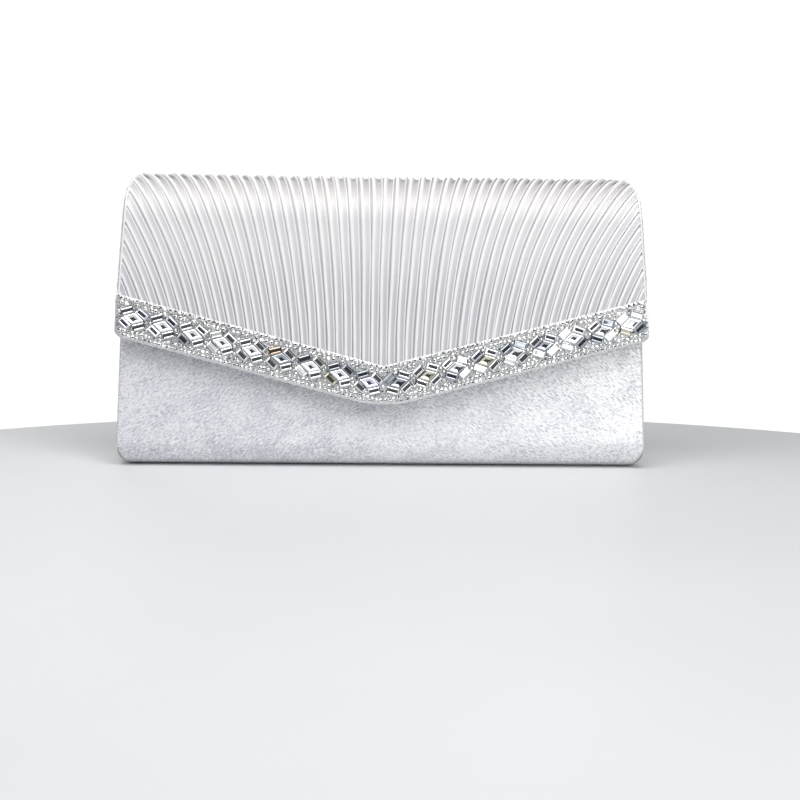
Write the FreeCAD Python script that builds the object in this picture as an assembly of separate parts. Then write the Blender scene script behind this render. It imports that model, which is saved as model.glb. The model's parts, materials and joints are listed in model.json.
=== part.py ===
"""Evening clutch bag: a stiffened satin case with a pleated flap edged in crystals.

Millimetres, +Z up, X across the bag, the front towards -Y. The origin is the centre of
the bounding box on the surface that the bag stands on. Writes parts/NODE.step.
"""

import FreeCAD
import Part

import math
import os

V = FreeCAD.Vector

# ---------------------------------------------------------------- driving dimensions
WIDTH = 240.0  # across the flap's lower corners
HEIGHT = 130.0  # to the crest of the folded flap
DEPTH = 50.3  # back cover to the crystals' faces

CLOTH = 0.6  # satin with its glued backing
BOARD = 1.6  # greyboard of the case
LINING = 0.5
GAP = 0.3  # running room between pieces of different bodies

FRONT_LEAN = 7.6  # degrees that the front leans back
BACK_LEAN = 3.0
CASE_HALF = 119.8  # half the case's width at the base
SIDE_LEAN = 2.0  # degrees that the case's sides lean inward
CORNER = 7.0  # rounding of the case's bottom corners, seen from the front
FRONT_BEND = 12.0  # outer radius between the base and the front
BACK_BEND = 9.0
FRONT_FOOT = -DEPTH / 2 + 4.09  # the front's plane at Z = 0, under flap and crystals
BACK_FOOT = DEPTH / 2 + 0.49  # the back's plane at Z = 0, where the base's bend has left it
BACK_TOP = 115.0
BACK_SEAM_Z = 15.0  # where the base's satin meets the back's
FRONT_TOP = 107.0
FRONT_HINGE_Z = 14.0  # scored fold between the base tray and the front panel

FLAP_STANDOFF = 2.8  # closed magnetic snap between the front cover and the flap lining
FLAP_CLOTH = 1.2  # pleated satin, measured over the pleats
BATTING = 0.8
FLAP_BOARD = 1.2
FLAP_THICK = FLAP_CLOTH + BATTING + FLAP_BOARD + LINING
SHOULDER_FRONT = 22.0  # outer radii of the fold over the top
SHOULDER_BACK = 10.0
FLAP_SLOPE = 14.7  # degrees, each side of the flap's V
FLAP_TIP = 28.2  # height of the V's sharp corner, up the flap's plane
TIP_ROUND = 56.0
FLAP_CORNER = 6.0
FLAP_SIDE_TOP = (115.7, 119.0)  # where the straight sides end: half width and height
FLAP_CREST_HALF = 110.8
FLAP_SIDE_BULGE = (0.9, 0.3)  # how far the sides' upper stretch rounds out
FLAP_BOARD_TOP = 111.0  # the flap's board stops where the fold begins
HINGE_BEHIND = 1.0  # the cloth hinge's line, behind the fold's back edge
HINGE_Z = 117.5
EDGE_BINDING = 0.8

FLAP_LOW = 10.0  # below the flap's tip, where its section is cut off before trimming

BAND_INSET = 0.8  # from the flap's edge to the crystal band
BAND_WIDTH = 18.5
BAND_THICK = 0.5
MOTIF_LINE = 9.9  # from the flap's edge to the line of the motifs
MOTIF_PITCH = 13.5
MOTIFS_EACH_SIDE = 9
RHOMB_SIDE = 5.2
RHOMB_HALF_ANGLE = 30.0
BAGUETTE = (5.0, 2.4)  # length and width
STONE_GAP = 0.35
CUP_RIM = 0.15  # how far a setting stands out round its stone
BAGUETTE_BEVEL = 0.45  # how far a stone's step-cut top is drawn in
RHOMB_BEVEL = 0.6
ROUND_TABLE = 0.55  # a round stone's flat top, as a share of its radius
SETTING_THICK = 0.7
CRYSTAL_TALL = 1.6
ROUND_TALL = 1.3
BIG_ROUND = (1.1, 2.3)  # radius and pitch of the stones along the upper edge
SMALL_ROUND = (0.9, 2.05)  # and along the lower edge
UPPER_LINES = (16.0, 18.2)  # lines of stones, from the flap's edge
LOWER_LINES = (1.9, 3.85)
NOTCH_STEP = (1.85, 2.07)  # spacing of the small stones between the motifs
NOTCH_REACH = 4.05  # from the motifs' line to the notches' outermost stones

SNAP_HEIGHT = 52.0  # snap centre, up the front's plane
SNAP_RADIUS = 7.5
SNAP_SOCKET = 1.6
SNAP_PLATE = 0.9
STUD_RADIUS = 2.2
STUD_TALL = 1.3
STUD_HOLE = 3.1
WASHER = 0.5
SLOT_ROOM = 0.1
PATCH_RADIUS = 10.0
PATCH_THICK = 0.9
PRONG = (3.0, 0.5)  # width and thickness of the snap's legs
PRONG_OUT = 3.2  # from the snap's centre
PRONG_TIP = (3.0, 0.3)  # length and thickness of the legs' bent ends

TAPE_THICK = 1.8
TAPE_GAP = 0.1
TAPE_HALF = 113.0

GUSSET_FOLD = 22.0  # how far the gusset's crease goes in at the top
GUSSET_CLOTH = 0.5
GUSSET_TOP = 104.0
GUSSET_ROOM = 0.4  # between the gussets and the walls that they are sewn to
GUSSET_EDGE = 1.2  # from the lining's side edge to the gusset

RING_X = 82.0
RING_BAR = 0.8  # wire radius of the D-rings
RING_WIDE = 11.0
RING_TALL = 9.0
RING_AXIS_Z = 97.0
RING_OFF = 1.7  # from the lining to the ring's bar
LOOP_CLOTH = 0.65
LOOP_SLACK = 0.06
LOOP_TAIL = (0.9, 13.0)  # thickness and length of the loop's sewn tail
LOOP_WIDE = 6.6

POCKET_WIDE = 120.0
POCKET_LOW = 32.0
POCKET_TOP = 84.0
POCKET_BINDING = 6.0

# ---------------------------------------------------------------- worked out from them
TAN_FRONT = math.tan(math.radians(FRONT_LEAN))
COS_FRONT = math.cos(math.radians(FRONT_LEAN))
SIN_FRONT = math.sin(math.radians(FRONT_LEAN))
TAN_BACK = math.tan(math.radians(BACK_LEAN))
COS_BACK = math.cos(math.radians(BACK_LEAN))
SIN_BACK = math.sin(math.radians(BACK_LEAN))
WALL = CLOTH + BOARD + LINING
FLAP_OUT = FLAP_STANDOFF + FLAP_THICK  # from the front cover to the flap's face
FLAP_FOOT = FRONT_FOOT - FLAP_OUT / COS_FRONT
CREST = HEIGHT
SHOULDER_Z = CREST - SHOULDER_FRONT
SHOULDER_Y = FLAP_FOOT + SHOULDER_Z * TAN_FRONT + SHOULDER_FRONT / COS_FRONT
HINGE_Y = SHOULDER_Y + SHOULDER_BACK + HINGE_BEHIND
TAN_SIDE = math.tan(math.radians(SIDE_LEAN))


def front_y(z, depth=0.0):
    """Y of the front's plane at a height, that far under its outer face."""
    return FRONT_FOOT + z * TAN_FRONT + depth / COS_FRONT


def back_y(z, depth=0.0):
    """Y of the back's plane at a height, that far under its outer face."""
    return BACK_FOOT - z * TAN_BACK - depth / COS_BACK


def polygon_face(points):
    """A face from points in order; the outline closes itself."""
    return Part.Face(Part.makePolygon([V(*p) for p in points] + [V(*points[0])]))


def side_face(points):
    """A face in the plane X = 0 from (y, z) points."""
    return polygon_face([(0, y, z) for y, z in points])


def across(face, half):
    """A side face extruded evenly to both sides."""
    solid = face.extrude(V(2 * half, 0, 0))
    solid.translate(V(-half, 0, 0))
    return solid


def on_plane(shape, foot):
    """Puts a shape drawn in XY, with Z outward, on a plane parallel to the front."""
    placed = shape.copy()
    turn = FreeCAD.Rotation(V(1, 0, 0), 90 - FRONT_LEAN)
    placed.Placement = FreeCAD.Placement(V(0, foot, 0), turn).multiply(placed.Placement)
    return placed


def export(shape, name):
    """Writes a node; one with several solids is written as a group."""
    solids = shape.Solids
    shape = solids[0] if len(solids) == 1 else Part.makeCompound(solids)
    if not shape.isValid():
        raise ValueError(name + " isn't valid")
    shape.exportStep("parts/" + name + ".step")


# ---------------------------------------------------------------- the case's walls
def bend_centres():
    """Y of the centres of the base's front and back bends."""
    front = FRONT_FOOT + FRONT_BEND * (1 + SIN_FRONT) / COS_FRONT
    back = BACK_FOOT - BACK_BEND * (1 + SIN_BACK) / COS_BACK
    return front, back


def tray_edges(depth, top_front, top_back):
    """The base's line with both bends, that far inside the outer face, front to back."""
    front_c, back_c = bend_centres()
    front_r, back_r = FRONT_BEND - depth, BACK_BEND - depth
    front_end = V(0, front_c - front_r * COS_FRONT, FRONT_BEND + front_r * SIN_FRONT)
    back_end = V(0, back_c + back_r * COS_BACK, BACK_BEND + back_r * SIN_BACK)
    mid = math.radians(45)
    front_mid = V(0, front_c - front_r * math.cos(mid), FRONT_BEND - front_r * math.sin(mid))
    back_mid = V(0, back_c + back_r * math.cos(mid), BACK_BEND - back_r * math.sin(mid))
    low_front, low_back = V(0, front_c, depth), V(0, back_c, depth)
    rise_front = V(0, front_y(top_front, depth), top_front)
    rise_back = V(0, back_y(top_back, depth), top_back)
    edges = []
    if top_front > front_end.z + 1e-6:
        edges.append(Part.makeLine(rise_front, front_end))
    edges.append(Part.Arc(front_end, front_mid, low_front).toShape())
    edges.append(Part.makeLine(low_front, low_back))
    edges.append(Part.Arc(low_back, back_mid, back_end).toShape())
    edges.append(Part.makeLine(back_end, rise_back))
    return edges


def tray_sheet(outer, inner, top_front, top_back):
    """A bent sheet lying between two depths under the case's outer face."""
    out = tray_edges(outer, top_front, top_back)
    ins = tray_edges(inner, top_front, top_back)
    start = Part.makeLine(out[0].Vertexes[0].Point, ins[0].Vertexes[0].Point)
    end = Part.makeLine(out[-1].Vertexes[-1].Point, ins[-1].Vertexes[-1].Point)
    wire = Part.Wire(Part.__sortEdges__(out + [end] + ins + [start]))
    return across(Part.Face(wire), CASE_HALF + 5)


def case_half(z):
    """Half the case's width at a height; its sides lean inward."""
    return CASE_HALF - z * TAN_SIDE


def case_outline(inset):
    """The case seen from the front: leaning sides and rounded bottom corners."""
    lean = math.radians(SIDE_LEAN)
    half_turn = (math.pi / 2 - lean) / 2
    reach = CORNER / math.tan(half_turn)
    foot = CASE_HALF - inset
    centre = V(foot - reach, 0, CORNER)
    low = V(foot - reach, 0, 0)
    middle = centre + V(math.cos(half_turn), 0, -math.sin(half_turn)) * CORNER
    side = V(foot - reach * math.sin(lean), 0, reach * math.cos(lean))
    top = V(foot - HEIGHT * TAN_SIDE, 0, HEIGHT)

    def mirrored(point):
        return V(-point.x, 0, point.z)

    edges = [
        Part.makeLine(mirrored(low), low),
        Part.Arc(low, middle, side).toShape(),
        Part.makeLine(side, top),
        Part.makeLine(top, mirrored(top)),
        Part.makeLine(mirrored(top), mirrored(side)),
        Part.Arc(mirrored(side), mirrored(middle), mirrored(low)).toShape(),
    ]
    return Part.Face(Part.Wire(edges))


def case_prism(inset=0.0):
    solid = case_outline(inset).extrude(V(0, 2 * DEPTH, 0))
    solid.translate(V(0, -DEPTH, 0))
    return solid


def build_tray():
    """Greyboard of base and back, with the satin outside and the lining inside."""
    low_front = FRONT_HINGE_Z - GAP
    board_top = BACK_TOP - CLOTH
    board = tray_sheet(CLOTH, CLOTH + BOARD, low_front, board_top)
    cover = tray_sheet(0, CLOTH, low_front, BACK_SEAM_Z)
    lining = tray_sheet(CLOTH + BOARD, WALL, low_front, board_top)
    export(board.common(case_prism(CLOTH)), "case_board")
    export(cover.common(case_prism()), "base_cover")
    export(lining.common(case_prism(2 * CLOTH)), "case_lining")


def back_plate(outer, inner, low, high):
    """A flat plate in the back wall between two depths, wider than the case."""
    points = [
        (back_y(low, outer), low),
        (back_y(high, outer), high),
        (back_y(high, inner), high),
        (back_y(low, inner), low),
    ]
    return across(side_face(points), CASE_HALF)


def build_back():
    cover = back_plate(0, CLOTH, BACK_SEAM_Z, BACK_TOP).common(case_prism())
    export(cover, "back_cover")
    strip = Part.makeBox(POCKET_WIDE, 2 * DEPTH, HEIGHT, V(-POCKET_WIDE / 2, -DEPTH, 0))
    pocket = back_plate(WALL, WALL + CLOTH, POCKET_LOW, POCKET_TOP)
    binding = back_plate(WALL, WALL + 2 * CLOTH, POCKET_TOP, POCKET_TOP + POCKET_BINDING)
    export(pocket.common(strip), "slip_pocket")
    export(binding.common(strip), "slip_pocket_binding")


# ---------------------------------------------------------------- front panel
def front_plate(outer, inner, low, high, inset):
    """A flat plate in the front wall between two depths; heights go up the plane."""
    plate = Part.makeBox(
        2 * CASE_HALF, high - low, inner - outer, V(-CASE_HALF, low, -inner)
    )
    return on_plane(plate, FRONT_FOOT).common(case_prism(inset))


def snap_box(side, start, long, wide, low, high):
    """A box on one side of the snap's axis, from start outward, between two heights."""
    left = start if side > 0 else -start - long
    corner = V(left, SNAP_HEIGHT - wide / 2, low)
    return Part.makeBox(long, wide, high - low, corner)


def snap_legs(low, high, grow=0.0):
    """The two legs of a snap half, along its axis."""
    wide, thick = PRONG
    start = PRONG_OUT - thick / 2 - grow
    return [
        snap_box(side, start, thick + 2 * grow, wide + 2 * grow, low, high) for side in (-1, 1)
    ]


def snap_tips(low):
    """The legs' ends, bent outward over the washer."""
    wide, thick = PRONG
    long, tall = PRONG_TIP
    start = PRONG_OUT - thick / 2
    return [snap_box(side, start, long, wide, low, low + tall) for side in (-1, 1)]


def disc(radius, low, high, hole=0.0):
    """A disc on the snap's axis between two heights over the front's plane."""
    axis = V(0, SNAP_HEIGHT, low)
    body = Part.makeCylinder(radius, high - low, axis)
    return body.cut(Part.makeCylinder(hole, high - low, axis)) if hole else body


def build_front():
    """The front panel: board, satin, lining and the binding along its top."""
    low = (FRONT_HINGE_Z + GAP) / COS_FRONT
    top = FRONT_TOP / COS_FRONT
    under_board = CLOTH + BOARD
    slots = [on_plane(leg, FRONT_FOOT) for leg in snap_legs(-WALL, 1.0, SLOT_ROOM)]
    hole = on_plane(disc(SNAP_RADIUS + SLOT_ROOM, -WALL, -under_board), FRONT_FOOT)
    board_top = top - CLOTH
    cover = front_plate(0, CLOTH, low, top, 0.0).cut(slots)
    board = front_plate(CLOTH, under_board, low, board_top, CLOTH).cut(slots)
    lining = front_plate(under_board, WALL, low, board_top, 2 * CLOTH).cut(hole)
    rim = front_plate(0, WALL, top, top + CLOTH, 0.0)
    fill = front_plate(CLOTH, WALL, board_top, top, 0.0)
    export(cover, "front_cover")
    export(board, "front_board")
    export(lining, "front_lining")
    export(rim.fuse(fill).removeSplitter(), "front_top_binding")


def build_socket():
    """The snap's magnetic half on the front: shell, magnet, plate, washer and patch."""
    rim = 0.3  # sheet metal's thickness
    under_board = CLOTH + BOARD
    slack = 0.05
    shell = disc(SNAP_RADIUS, rim, SNAP_SOCKET, STUD_HOLE)
    hollow = disc(SNAP_RADIUS - rim, rim, SNAP_SOCKET - rim, STUD_HOLE + rim)
    magnet = disc(
        SNAP_RADIUS - rim - slack, rim, SNAP_SOCKET - rim - slack, STUD_HOLE + rim + slack
    )
    legs = snap_legs(-under_board - WASHER, rim / 2)
    tips = snap_tips(-under_board - WASHER - PRONG_TIP[1])
    plate = disc(SNAP_RADIUS, 0, rim).fuse(legs + tips).removeSplitter()
    washer = disc(SNAP_RADIUS, -under_board - WASHER, -under_board)
    washer = washer.cut(snap_legs(-WALL, 0.0, SLOT_ROOM))
    recess = disc(SNAP_RADIUS + SLOT_ROOM, -WALL - PRONG_TIP[1] - SLOT_ROOM, -WALL)
    patch = disc(PATCH_RADIUS, -WALL - PATCH_THICK, -WALL).cut(recess)
    export(on_plane(shell.cut(hollow), FRONT_FOOT), "snap_socket_shell")
    export(on_plane(magnet, FRONT_FOOT), "snap_socket_magnet")
    export(on_plane(plate, FRONT_FOOT), "snap_socket_plate")
    export(on_plane(washer, FRONT_FOOT), "snap_socket_washer")
    export(on_plane(patch, FRONT_FOOT), "snap_socket_patch")


# ---------------------------------------------------------------- flap
def flap_edges(depth):
    """The flap's section that far under its face: the front, then the fold's two arcs."""
    lean = math.radians(FRONT_LEAN)
    front_r = SHOULDER_FRONT - depth
    back_r = SHOULDER_BACK - depth

    def on_front(angle):
        return V(
            0, SHOULDER_Y - front_r * math.cos(angle), SHOULDER_Z + front_r * math.sin(angle)
        )

    def on_back(angle):
        back_z = CREST - SHOULDER_BACK
        return V(0, SHOULDER_Y + back_r * math.cos(angle), back_z + back_r * math.sin(angle))

    start = on_front(lean)
    apex = V(0, SHOULDER_Y, CREST - depth)
    foot = V(0, start.y - (start.z - FLAP_LOW) * TAN_FRONT, FLAP_LOW)
    return [
        Part.makeLine(foot, start),
        Part.Arc(start, on_front((math.pi / 2 + lean) / 2), apex).toShape(),
        Part.Arc(apex, on_back(math.pi / 4), on_back(0)).toShape(),
    ]


def flap_sheet(outer, inner, inset):
    """A sheet of the flap between two depths, trimmed to its outline."""
    out = flap_edges(outer)
    ins = flap_edges(inner)
    start = Part.makeLine(out[0].Vertexes[0].Point, ins[0].Vertexes[0].Point)
    end = Part.makeLine(out[-1].Vertexes[-1].Point, ins[-1].Vertexes[-1].Point)
    wire = Part.Wire(Part.__sortEdges__(out + [end] + ins + [start]))
    return across(Part.Face(wire), WIDTH / 2 + 5).common(flap_prism(inset))


def flap_outline():
    """The flap's edge in its own plane, up the plane from the base's level."""
    half, slope = WIDTH / 2, math.radians(FLAP_SLOPE)
    side_x, side_v = FLAP_SIDE_TOP
    corner = V(half, FLAP_TIP + half * math.tan(slope), 0)
    side_lean = math.atan2(half - side_x, side_v - corner.y)
    half_turn = (math.pi / 2 + slope - side_lean) / 2  # half the corner's inner angle
    reach = FLAP_CORNER / math.tan(half_turn)
    down = V(-math.cos(slope), -math.sin(slope), 0)
    up = V(-math.sin(side_lean), math.cos(side_lean), 0)
    low, side = corner + down * reach, corner + up * reach
    inward = (down + up).normalize()
    middle = corner + inward * (FLAP_CORNER / math.sin(half_turn) - FLAP_CORNER)
    tip_half = TIP_ROUND * math.sin(slope)
    tip_end = V(tip_half, FLAP_TIP + tip_half * math.tan(slope), 0)
    tip = V(0, FLAP_TIP + TIP_ROUND / math.cos(slope) - TIP_ROUND, 0)
    side_top = V(side_x, side_v, 0)
    crest = V(FLAP_CREST_HALF, CREST + 4, 0)
    bend = (side_top + crest) * 0.5 + V(*FLAP_SIDE_BULGE, 0)
    above = V(FLAP_CREST_HALF, CREST + 20, 0)

    def mirrored(point):
        return V(-point.x, point.y, 0)

    edges = [Part.makeLine(mirrored(above), above)]
    for flip in (lambda point: point, mirrored):
        edges.append(Part.makeLine(flip(above), flip(crest)))
        edges.append(Part.Arc(flip(crest), flip(bend), flip(side_top)).toShape())
        edges.append(Part.makeLine(flip(side_top), flip(side)))
        edges.append(Part.Arc(flip(side), flip(middle), flip(low)).toShape())
        edges.append(Part.makeLine(flip(low), flip(tip_end)))
    edges.append(Part.Arc(tip_end, tip, mirrored(tip_end)).toShape())
    return Part.Face(Part.Wire(Part.__sortEdges__(edges)))


def flap_prism(inset=0.0):
    face = flap_outline()
    if inset:
        face = face.makeOffset2D(-inset)
    prism = face.extrude(V(0, 0, 4 * DEPTH))
    prism.translate(V(0, 0, -2 * DEPTH))
    return on_plane(prism, FLAP_FOOT)


def build_flap():
    """The flap: pleated satin over batting and board, with a lining and a bound edge."""
    under_batting = FLAP_CLOTH + BATTING
    under_board = under_batting + FLAP_BOARD
    slots = [on_plane(leg, FRONT_FOOT) for leg in snap_legs(0.0, FLAP_OUT, SLOT_ROOM)]
    room = on_plane(disc(SNAP_RADIUS, FLAP_OUT - under_batting, FLAP_OUT), FRONT_FOOT)
    flat = Part.makeBox(2 * WIDTH, FLAP_BOARD_TOP, 4 * DEPTH, V(-WIDTH, 0, -2 * DEPTH))
    flat = on_plane(flat, FLAP_FOOT)
    inset_prism = flap_prism(EDGE_BINDING)

    cover = flap_sheet(0, FLAP_CLOTH, 0.0)
    batting = flap_sheet(FLAP_CLOTH, under_batting, EDGE_BINDING).cut(room)
    layer = flap_sheet(under_batting, under_board, EDGE_BINDING)
    lining = flap_sheet(under_board, FLAP_THICK, 0.0).cut(slots)
    rim = flap_sheet(FLAP_CLOTH, under_board, 0.0).cut(inset_prism).common(flat)
    export(cover, "flap_pleated_cover")
    export(batting, "flap_batting")
    export(layer.common(flat).cut(slots), "flap_board")
    export(layer.cut(flat), "flap_fold_foam")
    export(lining, "flap_lining")
    export(rim, "flap_edge_binding")


def build_stud():
    """The snap's other half, on the flap: plate and stud inside, washer on the board."""
    face = FLAP_STANDOFF  # the flap lining's face over the front's plane
    board_out = face + LINING + FLAP_BOARD
    plate = disc(SNAP_RADIUS, face - SNAP_PLATE, face)
    stud = disc(STUD_RADIUS, face - SNAP_PLATE - STUD_TALL, face - SNAP_PLATE)
    legs = snap_legs(face - SNAP_PLATE / 2, board_out + WASHER)
    tips = snap_tips(board_out + WASHER)
    whole = plate.fuse([stud] + legs + tips).removeSplitter()
    washer = disc(SNAP_RADIUS - 1, board_out, board_out + WASHER)
    washer = washer.cut(snap_legs(0.0, FLAP_OUT, SLOT_ROOM))
    export(on_plane(whole, FRONT_FOOT), "snap_stud")
    export(on_plane(washer, FRONT_FOOT), "snap_stud_washer")


# ---------------------------------------------------------------- crystal band
def band_face():
    """The band's strip: the flap's outline, cut off parallel to the V."""
    slope = math.radians(FLAP_SLOPE)
    strip = flap_outline().makeOffset2D(-BAND_INSET)
    apex = band_point(1, 0, BAND_INSET + BAND_WIDTH).y
    reach = WIDTH
    above = polygon_face(
        [
            (0, apex, 0),
            (reach, apex + reach * math.tan(slope), 0),
            (reach, 400, 0),
            (-reach, 400, 0),
            (-reach, apex + reach * math.tan(slope), 0),
        ]
    )
    return strip.cut(above)


def band_point(side, along, from_edge):
    """A point of the band: distance along one arm of the V and up from its edge."""
    slope = math.radians(FLAP_SLOPE)
    start = FLAP_TIP + from_edge / math.cos(slope)
    return V(side * along * math.cos(slope), start + along * math.sin(slope), 0)


def bar(length, width, low, high, inset_top):
    """A step-cut bar: a box with its top edges drawn in."""
    bottom = Part.makePolygon([
        V(-length / 2, -width / 2, low), V(length / 2, -width / 2, low),
        V(length / 2, width / 2, low), V(-length / 2, width / 2, low),
        V(-length / 2, -width / 2, low),
    ])
    l2, w2 = length / 2 - inset_top, width / 2 - inset_top
    top = Part.makePolygon([
        V(-l2, -w2, high), V(l2, -w2, high), V(l2, w2, high), V(-l2, w2, high), V(-l2, -w2, high),
    ])
    return Part.makeLoft([bottom, top], True, True)


def rhomb(side_length, low, high, inset_top):
    """The motif's centre stone: a rhomb drawn in towards its top."""
    angle = math.radians(RHOMB_HALF_ANGLE)

    def loop(side, z):
        a, b = side * math.cos(angle), side * math.sin(angle)
        return Part.makePolygon([V(-a, 0, z), V(0, -b, z), V(a, 0, z), V(0, b, z), V(-a, 0, z)])

    top_side = side_length - 2 * inset_top / math.sin(2 * angle)
    return Part.makeLoft([loop(side_length, low), loop(top_side, high)], True, True)


def place(shape, point, angle):
    placed = shape.copy()
    placed.Placement = FreeCAD.Placement(point, FreeCAD.Rotation(V(0, 0, 1), angle))
    return placed


def motif_spots():
    """Every motif's side, centre and turn."""
    spots = []
    for side in (-1, 1):
        for k in range(MOTIFS_EACH_SIDE):
            centre = band_point(side, (k + 0.5) * MOTIF_PITCH, MOTIF_LINE)
            spots.append((side, centre, side * FLAP_SLOPE))
    return spots


def baguette_spots():
    """The four baguettes round each centre stone: centre and turn of each."""
    angle = math.radians(RHOMB_HALF_ANGLE)
    clear = BAGUETTE[1] / 2 + STONE_GAP
    spots = []
    for _, centre, turn in motif_spots():
        for sx in (-1, 1):
            for sy in (-1, 1):
                mid = V(sx * RHOMB_SIDE * math.cos(angle) / 2, sy * RHOMB_SIDE * math.sin(angle) / 2, 0)
                out = V(sx * math.sin(angle), sy * math.cos(angle), 0) * clear
                local = FreeCAD.Rotation(V(0, 0, 1), turn).multVec(mid + out)
                spots.append((centre + local, turn - sx * sy * RHOMB_HALF_ANGLE))
    return spots


def build_band():
    surface = BAND_THICK
    seat = surface + SETTING_THICK
    crystal = surface + CRYSTAL_TALL
    strip = band_face().extrude(V(0, 0, BAND_THICK))
    export(on_plane(strip, FLAP_FOOT), "crystal_band_backing")

    length, width = BAGUETTE
    cup = bar(length, width, surface, seat, 0.0)
    stone = bar(length - 2 * CUP_RIM, width - 2 * CUP_RIM, seat, crystal, BAGUETTE_BEVEL)
    cups = [place(cup, point, turn) for point, turn in baguette_spots()]
    stones = [place(stone, point, turn) for point, turn in baguette_spots()]
    export(on_plane(Part.makeCompound(cups), FLAP_FOOT), "baguette_settings")
    export(on_plane(Part.makeCompound(stones), FLAP_FOOT), "baguette_crystals")

    cup_side = RHOMB_SIDE - STONE_GAP / 2
    cup = rhomb(cup_side, surface, seat, 0.0)
    stone = rhomb(cup_side - 2 * CUP_RIM, seat, crystal, RHOMB_BEVEL)
    cups = [place(cup, centre, turn) for _, centre, turn in motif_spots()]
    stones = [place(stone, centre, turn) for _, centre, turn in motif_spots()]
    export(on_plane(Part.makeCompound(cups), FLAP_FOOT), "centre_settings")
    export(on_plane(Part.makeCompound(stones), FLAP_FOOT), "centre_crystals")
    build_round_stones()


def round_stone(radius):
    """A small stone: a low cone frustum on the band."""
    return Part.makeCone(radius, ROUND_TABLE * radius, ROUND_TALL, V(0, 0, BAND_THICK))


def stones_at(stone, points):
    """Copies of a stone at those points that lie wholly on the band."""
    strip = band_face()
    room = stone.BoundBox.XLength / 2 - 0.05
    kept = []
    for point in points:
        clear = strip.Wires[0].distToShape(Part.Vertex(point))[0]
        if clear > room and strip.isInside(point, 1e-3, True):
            kept.append(place(stone, point, 0))
    return on_plane(Part.makeCompound(kept), FLAP_FOOT)


def line_points(pitch, from_edge):
    """Points along both arms of the V, the first half a pitch from its corner."""
    count = int(WIDTH / 2 / pitch)
    return [
        band_point(side, (k + 0.5) * pitch, from_edge)
        for side in (-1, 1)
        for k in range(count)
    ]


def notch_points():
    """Points between neighbouring motifs: a row across the band, wider at its ends."""
    step, rise = NOTCH_STEP
    skew = math.tan(math.radians(FLAP_SLOPE))
    spots = [(0, 0), (0, rise), (0, -rise)]
    spots += [(k * step, up) for up in (-NOTCH_REACH, NOTCH_REACH) for k in (-1, 0, 1)]
    points = [band_point(1, 0, MOTIF_LINE + up) for up in (-NOTCH_REACH, -rise, 0, NOTCH_REACH)]
    for side in (-1, 1):
        for k in range(1, MOTIFS_EACH_SIDE):
            for along, up in spots:
                points.append(band_point(side, k * MOTIF_PITCH + along - up * skew, MOTIF_LINE + up))
    return points


def build_round_stones():
    """The small stones: two lines above the motifs, two below and those between."""
    big_radius, big_pitch = BIG_ROUND
    small_radius, small_pitch = SMALL_ROUND
    big, small = round_stone(big_radius), round_stone(small_radius)
    names = ("upper_inner_stones", "upper_edge_stones")
    for name, line in zip(names, UPPER_LINES):
        export(stones_at(big, line_points(big_pitch, line)), name)
    names = ("lower_edge_stones", "lower_inner_stones")
    for name, line in zip(names, LOWER_LINES):
        export(stones_at(small, line_points(small_pitch, line)), name)
    export(stones_at(small, notch_points()), "notch_stones")


# ---------------------------------------------------------------- soft joints
def build_hinge_tape():
    """Cloth that joins the back to the flap over the hinge line."""
    low, high = BACK_TOP, CREST - SHOULDER_BACK - TAPE_GAP
    outer = SHOULDER_Y + SHOULDER_BACK - TAPE_GAP
    inner = outer - TAPE_THICK
    points = [(inner, low), (inner, high), (outer, high), (outer, low)]
    export(across(side_face(points), TAPE_HALF), "flap_hinge_tape")


def gusset(side):
    """The side's folded cloth: two leaves whose crease goes inward towards the top."""
    room = WALL + GUSSET_ROOM
    front_c, back_c = bend_centres()
    step = side * GUSSET_CLOTH

    def loop(z, front, back, fold):
        edge = side * (case_half(z) - 2 * CLOTH - GUSSET_EDGE)
        crease = edge - side * fold
        mid = (front + back) / 2
        points = [
            (edge, front),
            (crease, mid),
            (edge, back),
            (edge + step, back),
            (crease + step, mid),
            (edge + step, front),
        ]
        return Part.makePolygon([V(x, y, z) for x, y in points + points[:1]])

    low = loop(WALL + 0.5, front_c - 2.0, back_c + 1.5, 1.0)
    bend = loop(FRONT_BEND, front_y(FRONT_BEND, room), back_y(FRONT_BEND, room), 3.0)
    top = loop(
        GUSSET_TOP, front_y(GUSSET_TOP, room), back_y(GUSSET_TOP, room), GUSSET_FOLD
    )
    lower = Part.makeLoft([low, bend], True, True)
    upper = Part.makeLoft([bend, top], True, True)
    return lower.fuse(upper)


def build_gussets():
    for side, name in ((-1, "gusset_left"), (1, "gusset_right")):
        export(gusset(side), name)


# ---------------------------------------------------------------- strap rings
def ring_axis_y():
    """Y of the rings' bars."""
    return back_y(RING_AXIS_Z, WALL) - RING_OFF


def ring(x):
    """A D-ring hanging from its bar."""
    y, z = ring_axis_y(), RING_AXIS_Z
    half = RING_WIDE / 2
    left, right = V(x - half, y, z), V(x + half, y, z)
    path = Part.Arc(left, V(x, y, z - RING_TALL), right).toShape()
    circle = Part.makeCircle(RING_BAR, left, path.tangentAt(path.FirstParameter))
    bow = Part.Wire([path]).makePipeShell([Part.Wire(circle)], True, False)
    straight = Part.makeCylinder(RING_BAR, RING_WIDE, left, V(1, 0, 0))
    ends = [Part.makeSphere(RING_BAR, end) for end in (left, right)]
    return straight.fuse([bow] + ends)


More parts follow.
